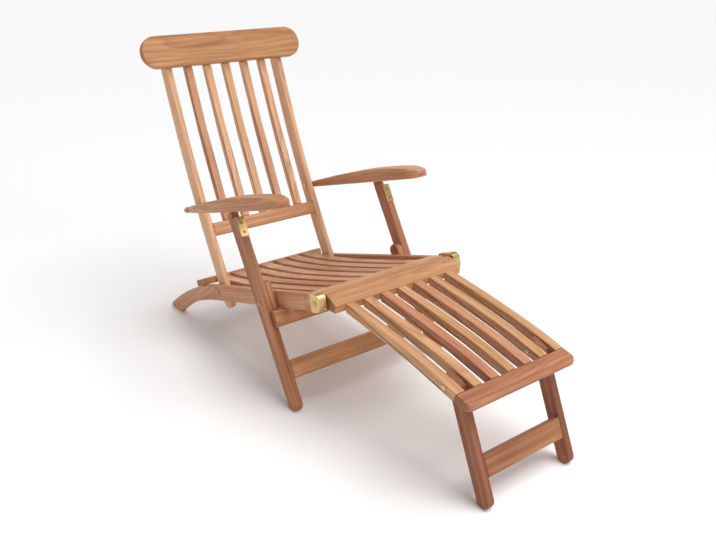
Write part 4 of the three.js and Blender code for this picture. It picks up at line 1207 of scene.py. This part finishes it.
class Bolts(DeckChairOperator, Operator):
    """The brass bolts and pins that the chair turns on, some with wooden plugs over their heads"""

    bl_idname = "deck_chair.bolts"
    bl_label = "Bolts and pins"
    COVER_SHARE = 0.25  # how much of a head's height shows brass under its plug
    TOUCHING = 1e-6  # a washer nearer to the nut than this begins on it
    # Name, joint, whether it has a nut, and the finish of the plug over its head, if any
    PLACES = (
        ("footrest_pin", "footrest_fold", False, ""),
        ("leg_bolt", "leg_fold", True, "teak_dark"),
        ("back_bolt", "back_fold", True, "teak"),
        ("arm_bolt", "arm_fold", True, "teak_dark"),
        ("footrest_leg_bolt", "footrest_leg_fold", True, ""),
    )

    def make(self, chair):
        """A turned profile about each pivot, from the nut out to the head or its plug."""
        hinge = chair.hinge
        for name, joint, nut, plug in self.PLACES:
            for side, sign in SIDES.items():
                node = f"{name}_{side}"
                inner, outer = sorted(abs(y) for y in faces_across(node))
                under = outer - hinge.head_height
                profile = self.shank(chair, inner, nut, self.washers(chair, inner, name))
                profile += [[hinge.bolt_radius, under]]
                cover = under + self.COVER_SHARE * hinge.head_height
                if plug:
                    profile += [[hinge.head_radius, under], [hinge.head_radius, cover]]
                else:
                    profile += dome(hinge.head_radius, under, outer)
                brass_piece(node, turned_rings(np.array(profile) * [1, sign], PIVOTS[joint]))
                if plug:
                    rings = dome(hinge.head_radius, cover, outer)
                    self.plug(node, turned_rings(np.array(rings) * [1, sign], PIVOTS[joint]), plug)

    def washers(self, chair, inner, name):
        """Where a bolt's washers start and end. Only the back's have them: at the nut, and by the rail."""
        if name != "back_bolt":
            return []
        gap = chair.edges.gap
        stile = sorted(abs(y) for y in faces_across("back_stile_right"))
        rail = min(abs(y) for y in faces_across("seat_rail_right"))
        return [(inner + chair.hinge.nut_height, stile[0] - gap), (stile[1] + gap, rail - gap)]

    def shank(self, chair, inner, nut, washers):
        """The (radius, y) of the nut, the shank and the washers."""
        hinge = chair.hinge
        profile = [[hinge.bolt_radius, inner]]
        if nut:
            end = inner + hinge.nut_height
            profile = disc(hinge.nut_radius, inner, end) + [[hinge.bolt_radius, end]]
        for start, end in washers:
            if start > profile[-1][1] + self.TOUCHING:
                profile += [[hinge.bolt_radius, start]]
            profile += disc(hinge.washer_radius, start, end) + [[hinge.bolt_radius, end]]
        return profile

    def plug(self, node, rings, slot):
        """A wooden plug over the bolt's head, that moves with the bolt."""
        mesh = make_mesh(f"{node}_plug", rings)
        mark_grain(mesh, node, math.pi / 2, end_grain=False)
        piece = add_piece(mesh, teak(slot))
        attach(piece, body_of(node))


# Back

def stile_line(back):
    """The stiles' front: straight, then a quadratic bend, then straight to the top, from the back's bolt."""
    lower, upper = (toward(math.pi / 2 + lean) for lean in (back.lower_lean, back.upper_lean))
    beside = toward(back.lower_lean, back.bolt_depth)
    start = beside + lower * back.bend_start
    middle = start + lower * back.lower_reach
    end = middle + upper * back.upper_reach
    bend = quadratic(start, middle, end, steps=40)
    return Line(np.vstack([beside - lower * back.tail, bend, end + upper * back.straight]))


def upright(chair, start, end, depth, round_tail):
    """The outline of an upright whose front follows the stiles' front, stepped back behind the headrest."""
    back, edges = chair.back, chair.edges
    line = stile_line(back)
    step = line.length + back.headrest_rise - back.headrest_height - edges.gap
    housing = back.headrest_thickness - back.headrest_proud + edges.gap
    rear = line.at(np.linspace(start, end, 40), depth)
    front = line.at(np.linspace(start, step, 40))
    behind = line.at(np.array([step, end]), housing)
    tail = []
    if round_tail:
        middle = (rear[0] + front[0]) / 2
        first = turn_of(rear[0] - middle)
        tail = [(arc(middle, depth / 2, first, first + math.pi, steps=16)[1:-1], 0)]
    bottom = 0 if round_tail else edges.corner
    crisp = CRISP_SHARE * edges.corner
    outline = eased(
        (rear[-1:], edges.corner), (rear[1:-1][::-1], 0), (rear[:1], bottom), *tail,
        (front[:1], bottom), (front[1:-1], 0), (front[-1:], crisp), (behind[:1], crisp),
        (behind[1:], edges.corner),
    )
    return back_frame().out(outline)


class BackStiles(DeckChairOperator, Operator):
    """The curved uprights of the back"""

    bl_idname = "deck_chair.back_stiles"
    bl_label = "Back stiles"

    def make(self, chair):
        """The stile's front line and a line one depth behind it, with a half round tail."""
        back = chair.back
        outline = upright(chair, back.stile_depth / 2, stile_line(back).length, back.stile_depth, True)
        grain = math.pi / 2 + (back.lower_lean + back.upper_lean) / 2
        for side in SIDES:
            board(f"back_stile_{side}", outline, grain)


class BackSlats(DeckChairOperator, Operator):
    """The upright slats of the back"""

    bl_idname = "deck_chair.back_slats"
    bl_label = "Back slats"
    COUNT = 5

    def make(self, chair):
        """The stiles' front line from the lower rail to behind the headrest."""
        back = chair.back
        start = back.tail + back.rail_up + back.rail_height + chair.edges.gap
        end = stile_line(back).length - back.slat_short
        outline = upright(chair, start, end, back.slat_depth, False)
        grain = math.pi / 2 + back.upper_lean
        for i in range(1, self.COUNT + 1):
            board(f"back_slat_{i}", outline, grain, "teak" if i % 2 else "teak_pale")


class LowerBackRail(DeckChairOperator, Operator):
    """The rail between the stiles, at arm height"""

    bl_idname = "deck_chair.lower_back_rail"
    bl_label = "Lower back rail"

    def make(self, chair):
        """Four corners along the stiles' front line."""
        back = chair.back
        start = back.tail + back.rail_up
        lengths = np.array([start, start + back.rail_height])
        line = stile_line(back)
        corners = np.vstack([line.at(lengths), line.at(lengths[::-1], back.rail_depth)])
        board("lower_back_rail", back_frame().out(eased((corners, chair.edges.corner))), "across")


class Headrest(DeckChairOperator, Operator):
    """The round-ended board across the top of the back"""

    bl_idname = "deck_chair.headrest"
    bl_label = "Headrest"

    def make(self, chair):
        """Two half circles joined by straight sides, in the plane of the back's upper part."""
        back = chair.back
        radius = back.headrest_height / 2
        reach = back.headrest_length / 2 - radius
        outline = np.vstack([
            arc(at(reach, 0), radius, -math.pi / 2, math.pi / 2, steps=40),
            arc(at(-reach, 0), radius, math.pi / 2, 1.5 * math.pi, steps=40),
        ])
        flat = board_rings(outline, 0, back.headrest_thickness, chair.edges.soft_edge, steps=6)
        up = toward(math.pi / 2 + back.upper_lean)
        front = toward(back.upper_lean)
        line = stile_line(back)
        middle = line.points[-1] + up * (back.headrest_rise - radius) + front * back.headrest_proud
        origin = back_frame().out(middle)
        side = origin[:, None, None] + up[:, None, None] * flat[..., 2] - front[:, None, None] * flat[..., 1]
        rings = np.stack([side[0], flat[..., 0], side[1]], -1)
        axes = np.array([[0, 1, 0], [up[0], 0, up[1]], [front[0], 0, front[1]]])
        wooden("headrest", rings, axes, "teak_dark")


# Arms

END_TURN = 1.48  # just under a quarter turn, so that the arm's end sections keep a height
CUT_START_SHARE = 1.4  # from the nose back to the close sections, of the cut corners' length
RUN_OUT_SHARE = 1.6  # how far a cut corner's curve runs past the nose, of the cut's width
TOP_ROUND_SHARE = 1.35  # rounding of the arm's upper edges, of the soft edge
THIN_END_SHARE = 0.98  # the largest rounding where the arm is thin, of its half height
OVERRUN = 0.01  # how far the recess runs out of the arm
PLATE_EDGE = 0.0002  # rounding of the slotted plates


def arm_stations(arm):
    """Places along the arm, close together in its rounded rear end and nose."""
    turns = np.linspace(0, END_TURN, 12)
    tail = -arm.tail + arm.tail_round * (1 - np.sin(turns[::-1]))
    nose = arm.reach - arm.nose_rise / 2 * (1 - np.sin(turns))
    middle = np.linspace(tail[-1], arm.reach - arm.nose_cut * CUT_START_SHARE, 30)[1:]
    cut = np.linspace(middle[-1], nose[0], 20)[1:-1]
    return np.concatenate([tail, middle, cut, nose])


class Arms(DeckChairOperator, Operator):
    """The armrests, and the slotted brass plates under them"""

    bl_idname = "deck_chair.arms"
    bl_label = "Arms"
    # Along the arm, and how high its top is there, of the crown
    TOP_SHARES = ((0, 0.33), (0.12, 0.52), (0.33, 0.82), (0.53, 1), (0.72, 0.99), (0.885, 0.84))
    SLOTS = 5

    def heights(self, arm, x):
        """The middle and the half height of the section at x: a crowned top over a straight underside."""
        nose_top = arm.nose_rise - arm.under
        crown = [at(along * arm.reach, up * arm.crown) for along, up in self.TOP_SHARES]
        line = spline([*crown, at(arm.reach - arm.nose_rise / 2, nose_top)])
        top = np.interp(x, line[:, 0], line[:, 1])
        middle, half = (top - arm.under) / 2, (top + arm.under) / 2
        into_nose = np.clip((x - arm.reach + arm.nose_rise / 2) / (arm.nose_rise / 2), 0, 1)
        into_tail = np.clip((arm.tail_round - arm.tail - x) / arm.tail_round, 0, 1)
        return middle, half * np.sqrt(1 - into_nose**2) * np.sqrt(1 - into_tail**2)

    def widths(self, arm, x, inner, outer):
        """The inner and the outer edge at x: full width to the cut corners, narrower towards the bolt."""
        cut, soft = arm.nose_cut * arm.nose_share, arm.nose_cut * arm.soft_share
        reach, start = arm.reach, arm.reach - arm.nose_cut
        corner = np.vstack([
            quadratic(at(start - soft, 0), at(start + soft, 0), at(reach - soft, cut - soft)),
            quadratic(at(reach - soft, cut - soft), at(reach, cut), at(reach + soft, RUN_OUT_SHARE * cut)),
        ])
        drawn = np.interp(x, corner[:, 0], corner[:, 1])
        middle = reach * arm.full_share
        rear = inner + arm.rear_width
        flare = quadratic(at(arm.tail, rear), at(middle / 2, outer), at(middle, outer))
        wide = np.interp(x, flare[:, 0], flare[:, 1])
        return inner + drawn, wide - drawn

    def section(self, arm, x, inner, outer, edges, steps=6):
        """Rings of (x, across, z): a rectangle whose corners are quarter circles, more rounded on top."""
        middle, half = self.heights(arm, x)
        low, high = self.widths(arm, x, inner, outer)
        turns = np.linspace(0, math.pi / 2, steps + 1)
        turns = np.concatenate([turns + k * math.pi / 2 for k in range(4)])
        right = np.repeat([1, 0, 0, 1], steps + 1)
        above = np.repeat([1, 1, -1, -1], steps + 1)
        radius = np.where(above > 0, edges.soft_edge * TOP_ROUND_SHARE, edges.edge)
        radius = np.minimum(radius[None], THIN_END_SHARE * half[:, None])
        y = np.where(right, high[:, None] - radius, low[:, None] + radius) + radius * np.cos(turns)
        z = middle[:, None] + above * (half[:, None] - radius) + radius * np.sin(turns)
        return np.broadcast_to(x[:, None], y.shape), y, z

    def make(self, chair):
        """Sections along the arm, with a recess cut under it for the brass plate."""
        arm, edges = chair.arm, chair.edges
        x = arm_stations(arm)
        frame_here = arm_frame()
        for side, sign in SIDES.items():
            faces = sorted(abs(y) for y in faces_across(f"arm_{side}"))
            along, across, up = self.section(arm, x, *faces, edges)
            flat = frame_here.out(np.stack([along, up], -1))
            rings = np.stack([flat[..., 0], sign * across, flat[..., 1]], -1)
            piece = wooden(f"arm_{side}", rings, chair.seat.slope, "teak_dark")
            self.rack(chair, side)
            cut_recess(piece, self.recess(chair, side))
            mark_grain(piece.data, f"arm_{side}", chair.seat.slope)

    def recess(self, chair, side):
        """The space for the plate, a gap wider all round."""
        arm, gap = chair.arm, chair.edges.gap
        low, high = faces_across(f"arm_rack_{side}")
        top = -arm.under + gap / 2 + arm.rack_thickness + gap
        start, end = arm.rack_start - gap, arm.rack_start + arm.rack_length + gap
        outline = arm_frame().out(rectangle(start, end, -arm.under - OVERRUN, top))
        return board_rings(outline, low - gap, high + gap, PLATE_EDGE, steps=1)

    def rack(self, chair, side):
        """A plate with slots in its underside, evenly spaced."""
        arm = chair.arm
        bottom = -arm.under + chair.edges.gap / 2
        top = bottom + arm.rack_thickness
        start, end = arm.rack_start, arm.rack_start + arm.rack_length
        pitch = arm.rack_length / self.SLOTS
        first = start + pitch * (np.arange(self.SLOTS) + 0.5) - arm.rack_slot / 2
        deep = bottom + arm.rack_slot_depth
        corners = np.stack([
            np.stack([first, first, first + arm.rack_slot, first + arm.rack_slot], 1).ravel(),
            np.tile([bottom, deep, deep, bottom], self.SLOTS),
        ], 1)
        outline = np.vstack([[at(end, bottom), at(end, top), at(start, top), at(start, bottom)], corners])
        low, high = faces_across(f"arm_rack_{side}")
        rings = board_rings(arm_frame().out(outline), low, high, PLATE_EDGE, steps=1)
        brass_piece(f"arm_rack_{side}", rings)


def cut_recess(piece, rings):
    """Cuts the closed shape of rings out of a piece, whose attributes all become 0."""
    cutter = new_object("recess", make_mesh("recess", rings))
    cut = piece.modifiers.new("Recess", "BOOLEAN")
    cut.operation = "DIFFERENCE"
    cut.solver = "EXACT"
    cut.object = cutter
    even = piece.modifiers["Even normals"]
    even.show_viewport = False
    bpy.context.view_layer.update()
    graph = bpy.context.evaluated_depsgraph_get()
    mesh = bpy.data.meshes.new_from_object(piece.evaluated_get(graph), depsgraph=graph)
    old, piece.data = piece.data, mesh
    mesh.name = old.name
    even.show_viewport = True
    piece.modifiers.remove(cut)
    bpy.data.objects.remove(cutter)


# Leg frame

class FrontLegs(DeckChairOperator, Operator):
    """The slanted front legs, notched at the top for the catch plates"""

    bl_idname = "deck_chair.front_legs"
    bl_label = "Front legs"

    def make(self, chair):
        """A rounded foot, straight sides, and a top cut to the arm's underside."""
        leg, corner = chair.leg, chair.edges.corner
        here, half = leg_frame(), leg.depth / 2
        under_arm = under_arm_height(chair)
        floor = under_arm(half) - leg.notch
        inner = half - leg.notch
        rear = at(-half, under_arm(-half))
        before = at(leg.top_round - half, under_arm(leg.top_round - half))
        crown = quadratic(before, rear, rear - at(0, leg.top_round), steps=8)
        outline = eased(
            (rounded_foot(here, leg.depth, leg.foot_flat), 0),
            (at(half, floor), corner), (at(inner, floor), CRISP_SHARE * corner),
            (at(inner, under_arm(inner)), corner), (crown, 0),
        )
        for side in SIDES:
            board(f"front_leg_{side}", here.out(outline), math.pi / 2 + leg.lean, "teak_dark")


class LegSpacers(DeckChairOperator, Operator):
    """Round-ended wooden spacers between the legs and the rails"""

    bl_idname = "deck_chair.leg_spacers"
    bl_label = "Leg spacers"

    def make(self, chair):
        """Two half circles joined by straight sides."""
        leg, here = chair.leg, leg_frame()
        half = leg.depth / 2
        outline = np.vstack([
            arc(at(0, leg.spacer_up - half), half, 0, math.pi, steps=24),
            arc(at(0, half - leg.spacer_down), half, math.pi, 2 * math.pi, steps=24),
        ])
        for side in SIDES:
            board(f"leg_spacer_{side}", here.out(outline), math.pi / 2 + leg.lean)


class LegCrossbars(DeckChairOperator, Operator):
    """The two bars that join the front legs"""

    bl_idname = "deck_chair.leg_crossbars"
    bl_label = "Leg crossbars"

    def make(self, chair):
        """Four corners each, with the upper bar's top cut to the rails' underside."""
        leg, seat, edges = chair.leg, chair.seat, chair.edges
        here, half = leg_frame(), leg.depth / 2
        under_rail = height_across(
            seat_frame(), at(0, -seat.rail_depth), at(board_front(), -seat.rail_depth), leg.rest_clearance
        )
        near = half + edges.gap
        far = near + leg.upper_thickness
        bottom = under_rail(near) - leg.upper_height
        upper = [at(near, bottom), at(far, bottom), at(far, under_rail(far)), at(near, under_rail(near))]
        board("leg_crossbar_upper", here.out(eased((upper, edges.corner))), "across")
        start = leg.lower_up - here.origin[1] / math.cos(here.turn)
        lower = rectangle(half - leg.lower_thickness, half, start, start + leg.lower_height)
        board("leg_crossbar_lower", here.out(eased((lower, edges.corner))), "across")


class LegCatches(DeckChairOperator, Operator):
    """The bent brass plates in the notches at the leg tops, with their screws"""

    bl_idname = "deck_chair.leg_catches"
    bl_label = "Leg catches"
    SCREW_SHARES = (0.28, 0.76)  # down the plate, of its length
    OUTER_BEND_SHARE = 0.9  # rounding outside the plate's bend, of its thickness
    INNER_BEND_SHARE = 0.2  # rounding inside it
    FACE_SHARE = 0.6  # rounding of the plate's side faces, of the metal edge

    def make(self, chair):
        """An angle plate's outline carried across the leg, and a cross-slotted screw head at each screw."""
        leg, edges = chair.leg, chair.edges
        here, half = leg_frame(), leg.depth / 2
        floor = under_arm_height(chair)(half) - leg.notch
        face = half + edges.gap
        front = face + leg.catch_thickness
        foot = floor - leg.catch_length
        top = floor + edges.gap + leg.catch_thickness
        inner = half - leg.notch + edges.gap
        outline = eased(
            ([at(face, foot), at(front, foot)], edges.metal_edge),
            (at(front, top), self.OUTER_BEND_SHARE * leg.catch_thickness),
            ([at(inner, top), at(inner, floor + edges.gap)], edges.metal_edge),
            (at(face, floor + edges.gap), self.INNER_BEND_SHARE * leg.catch_thickness),
        )
        outline = here.out(outline)
        for side in SIDES:
            node = f"leg_catch_{side}"
            low, high = faces_across(node)
            brass_piece(node, board_rings(outline, low, high, self.FACE_SHARE * edges.metal_edge, steps=2))
            for i, place in enumerate(self.SCREW_SHARES, 1):
                spot = here.out(at(front, floor - place * leg.catch_length))
                middle = (low + high) / 2
                add_screw(f"catch_screw_{side}_{i}", body_of(node), spot, middle, here.turn, leg.catch_screw)


# A screw's head, as shares of its radius
SCREW_HEIGHT_SHARE = 0.18  # height of its dome
SCREW_FOOT_SHARE = 1.05  # radius where the dome would meet the plate
SCREW_SUNK_SHARE = 0.25  # how far its rim goes into the plate
GROOVE_DEPTH_SHARE = 0.22
GROOVE_LENGTH_SHARE = 0.62  # from the middle of the head to a groove's end
GROOVE_SIDE_SHARE = 0.085  # width of a groove's sloping side
GROOVE_REACH = 1.6  # from a groove's middle to its edge, in widths of its side


def add_screw(name, body, spot, across, turn, radius):
    """A screw head, turned in the side view: a low dome, less a narrow groove along each of two lines."""
    reach = np.concatenate([[1.0, 1.0, 0.98], np.linspace(0.94, 0.06, 14)])
    turns = np.linspace(0, 2 * math.pi, 48, endpoint=False)
    u, v = (radius * reach[:, None] * wave(turns)[None] for wave in (np.cos, np.sin))
    dome_height = SCREW_HEIGHT_SHARE * radius * (1 - (reach / SCREW_FOOT_SHARE) ** 2)[:, None]
    beside = np.minimum(np.abs(u), np.abs(v))
    grooved = np.maximum(np.abs(u), np.abs(v)) < GROOVE_LENGTH_SHARE * radius
    depth = np.clip(GROOVE_REACH - beside / (GROOVE_SIDE_SHARE * radius), 0, 1)
    rise = dome_height - GROOVE_DEPTH_SHARE * radius * grooved * depth
    rise[0] = -SCREW_SUNK_SHARE * radius
    rise[1] = 0
    out = toward(turn)
    up = np.array([-out[1], out[0]])
    side = spot[:, None, None] + out[:, None, None] * rise + up[:, None, None] * v
    piece = add_piece(make_mesh(name, np.stack([side[0], across + u, side[1]], -1)), screw_metal())
    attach(piece, body)


# Footrest

def footrest_line(footrest, gap):
    """The top of the footrest's bars: a quadratic curve from the rear rail to the end rail."""
    return Line(quadratic(
        at(footrest.rail_reach + gap, footrest.rail_rise),
        at(footrest.reach * footrest.bend_reach_share, -footrest.drop * footrest.bend_drop_share),
        at(footrest.reach, -footrest.drop),
        steps=60,
    ))


class FootrestRearRail(DeckChairOperator, Operator):
    """The wide rail that turns on the pins, with a round rear and a crowned top"""

    bl_idname = "deck_chair.footrest_rear_rail"
    bl_label = "Footrest rear rail"

    def make(self, chair):
        """A circle about the pin behind, a quadratic crown on top, and a flat front and underside."""
        footrest, radius = chair.footrest, chair.hinge.pin_depth
        start = math.pi / 2 + chair.seat.slope
        rear = arc(at(0, 0), radius, start, 1.5 * math.pi, steps=24)
        crown = rear[0] + toward(chair.seat.slope, footrest.rail_crown)
        front = at(footrest.rail_reach, footrest.rail_rise)
        top = quadratic(front, crown, rear[0], steps=20)
        outline = eased(
            (rear, 0), (at(footrest.rail_reach, -radius), chair.edges.corner),
            (front, chair.edges.corner), (top[1:-1], 0),
        )
        board("footrest_rear_rail", footrest_frame().out(outline), "across", "teak_pale")


class FootrestBars(DeckChairOperator, Operator):
    """The curved side rails and slats of the footrest"""

    bl_idname = "deck_chair.footrest_bars"
    bl_label = "Footrest bars"
    COUNT = 5

    def make(self, chair):
        """The curved top and a line one depth below it."""
        footrest, edges = chair.footrest, chair.edges
        line = footrest_line(footrest, edges.gap)
        lengths = np.linspace(0, line.length, 36)
        top, below = line.at(lengths), line.at(lengths, -footrest.depth)
        heel = at(footrest.rail_reach + edges.gap, footrest.rail_rise - footrest.depth)
        crisp = CRISP_SHARE * edges.corner
        outline = eased(
            (top[:1], crisp), (top[1:-1], 0), (top[-1:], crisp),
            (below[-1:], crisp), (below[1:-1][::-1], 0), (heel, crisp),
        )
        outline = footrest_frame().out(outline)
        grain = turn_of(at(footrest.reach, -footrest.drop))
        for side in SIDES:
            board(f"footrest_rail_{side}", outline, grain, "teak_pale")
        for i in range(1, self.COUNT + 1):
            board(f"footrest_slat_{i}", outline, grain, "teak_pale" if i % 2 else "teak")


class FootrestEndRail(DeckChairOperator, Operator):
    """The round-nosed rail at the feet, with rounded front corners"""

    bl_idname = "deck_chair.footrest_end_rail"
    bl_label = "Footrest end rail"

    def make(self, chair):
        """A bar with a half-elliptic nose, drawn back near its ends by R - sqrt(R^2 - d^2)."""
        footrest, edges = chair.footrest, chair.edges
        thick, wide, nose = footrest.end_thickness, footrest.end_width, footrest.end_nose
        turns = np.linspace(-math.pi / 2, math.pi / 2, 20)
        front = np.stack([wide - nose + nose * np.cos(turns), thick / 2 * (np.sin(turns) - 1)], 1)
        outline = eased((front, 0), ([at(0, 0), at(0, -thick)], edges.corner))
        low, high = faces_across("footrest_end_rail")
        radius = footrest.end_corner

        # The rings' places across the chair: a board's, and more of them where the front corners bend
        bends = np.linspace(0, math.pi / 2, 9)[:-1]
        near = high - radius * (1 - np.sin(bends))
        plain = board_rings(outline, low, high, edges.edge)[:, 0, 1]
        across = np.sort(np.concatenate([plain, -near, near]))

        # Each ring drawn in by the quarter round at the end faces, then back by the bend of the corners
        fit = np.clip((high - np.abs(across)) / edges.edge, 0, 1)
        drawn = edges.edge * (1 - np.sqrt(1 - (1 - fit) ** 2))
        flat = counterclockwise(outline)
        flat = flat[None] + drawn[:, None, None] * inward(flat)[None]
        into = np.clip(np.abs(across) - (high - radius), 0, radius)
        back = radius - np.sqrt(radius**2 - into**2)
        scale = (wide - back) / wide
        flat = flat * np.stack([scale, np.ones_like(scale)], -1)[:, None, :]
        start = at(footrest.reach + edges.gap, -footrest.drop)
        tilt = SideFrame(start, footrest.end_tilt)
        flat = footrest_frame().out(tilt.out(flat))
        wooden("footrest_end_rail", carried(flat, across), "across", "teak_dark")


class FootrestLegs(DeckChairOperator, Operator):
    """The footrest's legs and the bar between them"""

    bl_idname = "deck_chair.footrest_legs"
    bl_label = "Footrest legs"

    def make(self, chair):
        """A rounded foot, straight sides, and a top with a facet along the footrest and a slope before it."""
        footrest, edges = chair.footrest, chair.edges
        here, half = foot_leg_frame(), footrest.leg_depth / 2
        line = footrest_line(footrest, edges.gap)
        tangent = line.look(line.tangents, line.length - footrest.leg_back)
        slope = turn_of(tangent) - footrest.leg_lean
        normal = toward(slope + math.pi / 2)
        rear = at(-half, (footrest.leg_top + half * normal[0]) / normal[1])
        facet = rear + toward(slope, footrest.leg_facet)
        outline = eased(
            (rounded_foot(here, footrest.leg_depth, chair.leg.foot_flat), 0),
            ([at(half, facet[1] - footrest.leg_slope), facet, rear], edges.corner),
        )
        for side in SIDES:
            board(f"footrest_leg_{side}", here.out(outline), math.pi / 2 + footrest.leg_lean, "teak_dark")
        start = footrest.bar_up - here.origin[1] / math.cos(here.turn)
        bar = rectangle(half - footrest.bar_thickness, half, start, start + footrest.bar_height)
        board("footrest_leg_crossbar", here.out(eased((bar, edges.corner))), "across")


# Stage

class Stage(DeckChairOperator, Operator):
    """Pale floor, soft lights, and the camera at the photograph's angle"""

    bl_idname = "deck_chair.stage"
    bl_label = "Stage"
    HORIZON_FADE = (0.15, 0.5)  # heights of the view's direction between which the world grows weaker
    FLOOR_REACH = 30.0
    FLOOR_ROUGHNESS = 0.85
    TOP_LIGHT_SPREAD = math.radians(50)
    TOP_LIGHT_TURN = (math.radians(-14), math.radians(10), 0)
    KEY_PLACE = (2.6, 0.9, 2.6)
    KEY_AIM = (0.1, 0, 0.4)
    KEY_SIZE = 2.2
    CAMERA_PLACE = (1.8059, -1.5277, 1.3685)
    CAMERA_RIGHT = (0.63705, 0.76951, 0.04508)
    CAMERA_UP = (-0.32587, 0.21585, 0.92044)
    PHOTO_WIDTH = 716
    SENSOR = 36.0

    def make(self, chair):
        """Makes the world, the floor, the lights and the camera."""
        stage = chair.stage
        self.world(stage)
        self.floor(stage)
        self.sky(stage)
        self.key(stage)
        self.camera(stage)
        bpy.context.scene.view_settings.view_transform = "Standard"

    def world(self, stage):
        """White near the horizon, like the floor, and weaker light higher up."""
        world = bpy.data.worlds.new("studio")
        world.use_nodes = True
        tree = world.node_tree
        direction = tree.nodes.new("ShaderNodeTexCoord")
        parts = tree.nodes.new("ShaderNodeSeparateXYZ")
        fade = tree.nodes.new("ShaderNodeMapRange")
        fade.interpolation_type = "SMOOTHSTEP"
        fade.inputs["From Min"].default_value = self.HORIZON_FADE[0]
        fade.inputs["From Max"].default_value = self.HORIZON_FADE[1]
        fade.inputs["To Min"].default_value = 1.0
        fade.inputs["To Max"].default_value = stage.world
        tree.links.new(direction.outputs["Generated"], parts.inputs[0])
        tree.links.new(parts.outputs["Z"], fade.inputs["Value"])
        tree.links.new(fade.outputs[0], tree.nodes["Background"].inputs["Strength"])
        tree.nodes["Background"].inputs["Color"].default_value = (1, 1, 1, 1)
        bpy.context.scene.world = world

    def floor(self, stage):
        """A wide flat floor."""
        far = self.FLOOR_REACH
        mesh = bpy.data.meshes.new("floor")
        mesh.from_pydata([(-far, -far, 0), (far, -far, 0), (far, far, 0), (-far, far, 0)], [], [(0, 1, 2, 3)])
        paint = Paint("floor_paint")
        mesh.materials.append(paint.finish(Base_Color=tuple(stage.floor), Roughness=self.FLOOR_ROUGHNESS))
        new_object("floor", mesh)

    def sky(self, stage):
        """A broad soft light from above that falls evenly on the whole floor."""
        data = bpy.data.lights.new("top_light", "SUN")
        data.energy = stage.sky
        data.angle = self.TOP_LIGHT_SPREAD
        new_object("top_light", data).rotation_euler = self.TOP_LIGHT_TURN

    def key(self, stage):
        """A large square light in front, that faces the chair."""
        data = bpy.data.lights.new("key_light", "AREA")
        data.size = self.KEY_SIZE
        data.energy = stage.key
        away = np.array(self.KEY_PLACE) - np.array(self.KEY_AIM)
        back = away / np.linalg.norm(away)
        right = np.cross([0, 0, 1], back)
        right = right / np.linalg.norm(right)
        look = Matrix(np.stack([right, np.cross(back, right), back], 1).tolist())
        new_object("key_light", data).matrix_world = Matrix.Translation(self.KEY_PLACE) @ look.to_4x4()

    def camera(self, stage):
        """The camera, from its place and its right and up directions."""
        data = bpy.data.cameras.new("camera")
        data.sensor_width = self.SENSOR
        data.lens = stage.focal * self.SENSOR / self.PHOTO_WIDTH
        data.shift_x, data.shift_y = stage.shift
        camera = new_object("camera", data)
        right, up = np.array(self.CAMERA_RIGHT), np.array(self.CAMERA_UP)
        turn = Matrix(np.stack([right, up, np.cross(right, up)], 1).tolist())
        camera.matrix_world = Matrix.Translation(self.CAMERA_PLACE) @ turn.to_4x4()
        bpy.context.scene.camera = camera


MAKERS = (
    SeatRails, RearFeet, RearCrossbar, FrontBoard, SeatSlats, HingeBlocks, Bolts,
    BackStiles, BackSlats, LowerBackRail, Headrest, Arms,
    FrontLegs, LegSpacers, LegCrossbars, LegCatches,
    FootrestRearRail, FootrestBars, FootrestEndRail, FootrestLegs, Stage,
)


class DeckChairPanel(Panel):
    """The chair's operators and settings, in the 3D view's sidebar"""

    bl_idname = "VIEW3D_PT_deck_chair"
    bl_label = "Deck chair"
    bl_space_type = "VIEW_3D"
    bl_region_type = "UI"
    bl_category = "Deck chair"

    def draw(self, context):
        """Lists the operators, then every setting."""
        for maker in MAKERS:
            self.layout.operator(maker.bl_idname)
        chair = context.scene.deck_chair
        for group in chair.bl_rna.properties.keys():
            values = getattr(chair, group, None)
            if isinstance(values, PropertyGroup):
                box = self.layout.box()
                box.label(text=group.capitalize())
                for key in type(values).__annotations__:
                    box.prop(values, key)


GROUPS = (
    EdgeSizes, SeatSizes, HingeSizes, BackSizes, ArmSizes, LegSizes, FootrestSizes,
    WoodFinish, BrassFinish, StageSettings, ChairSettings,
)


def register():
    """Registers the settings, the operators and the panel."""
    for each in (*GROUPS, *MAKERS, DeckChairPanel):
        bpy.utils.register_class(each)
    bpy.types.Scene.deck_chair = PointerProperty(type=ChairSettings)


def unregister():
    """Removes them again."""
    del bpy.types.Scene.deck_chair
    for each in reversed((*GROUPS, *MAKERS, DeckChairPanel)):
        bpy.utils.unregister_class(each)


def main():
    """Builds the chair and its stage."""
    register()
    for maker in MAKERS:
        group, name = maker.bl_idname.split(".")
        getattr(getattr(bpy.ops, group), name)()


if __name__ == "__main__":
    main()
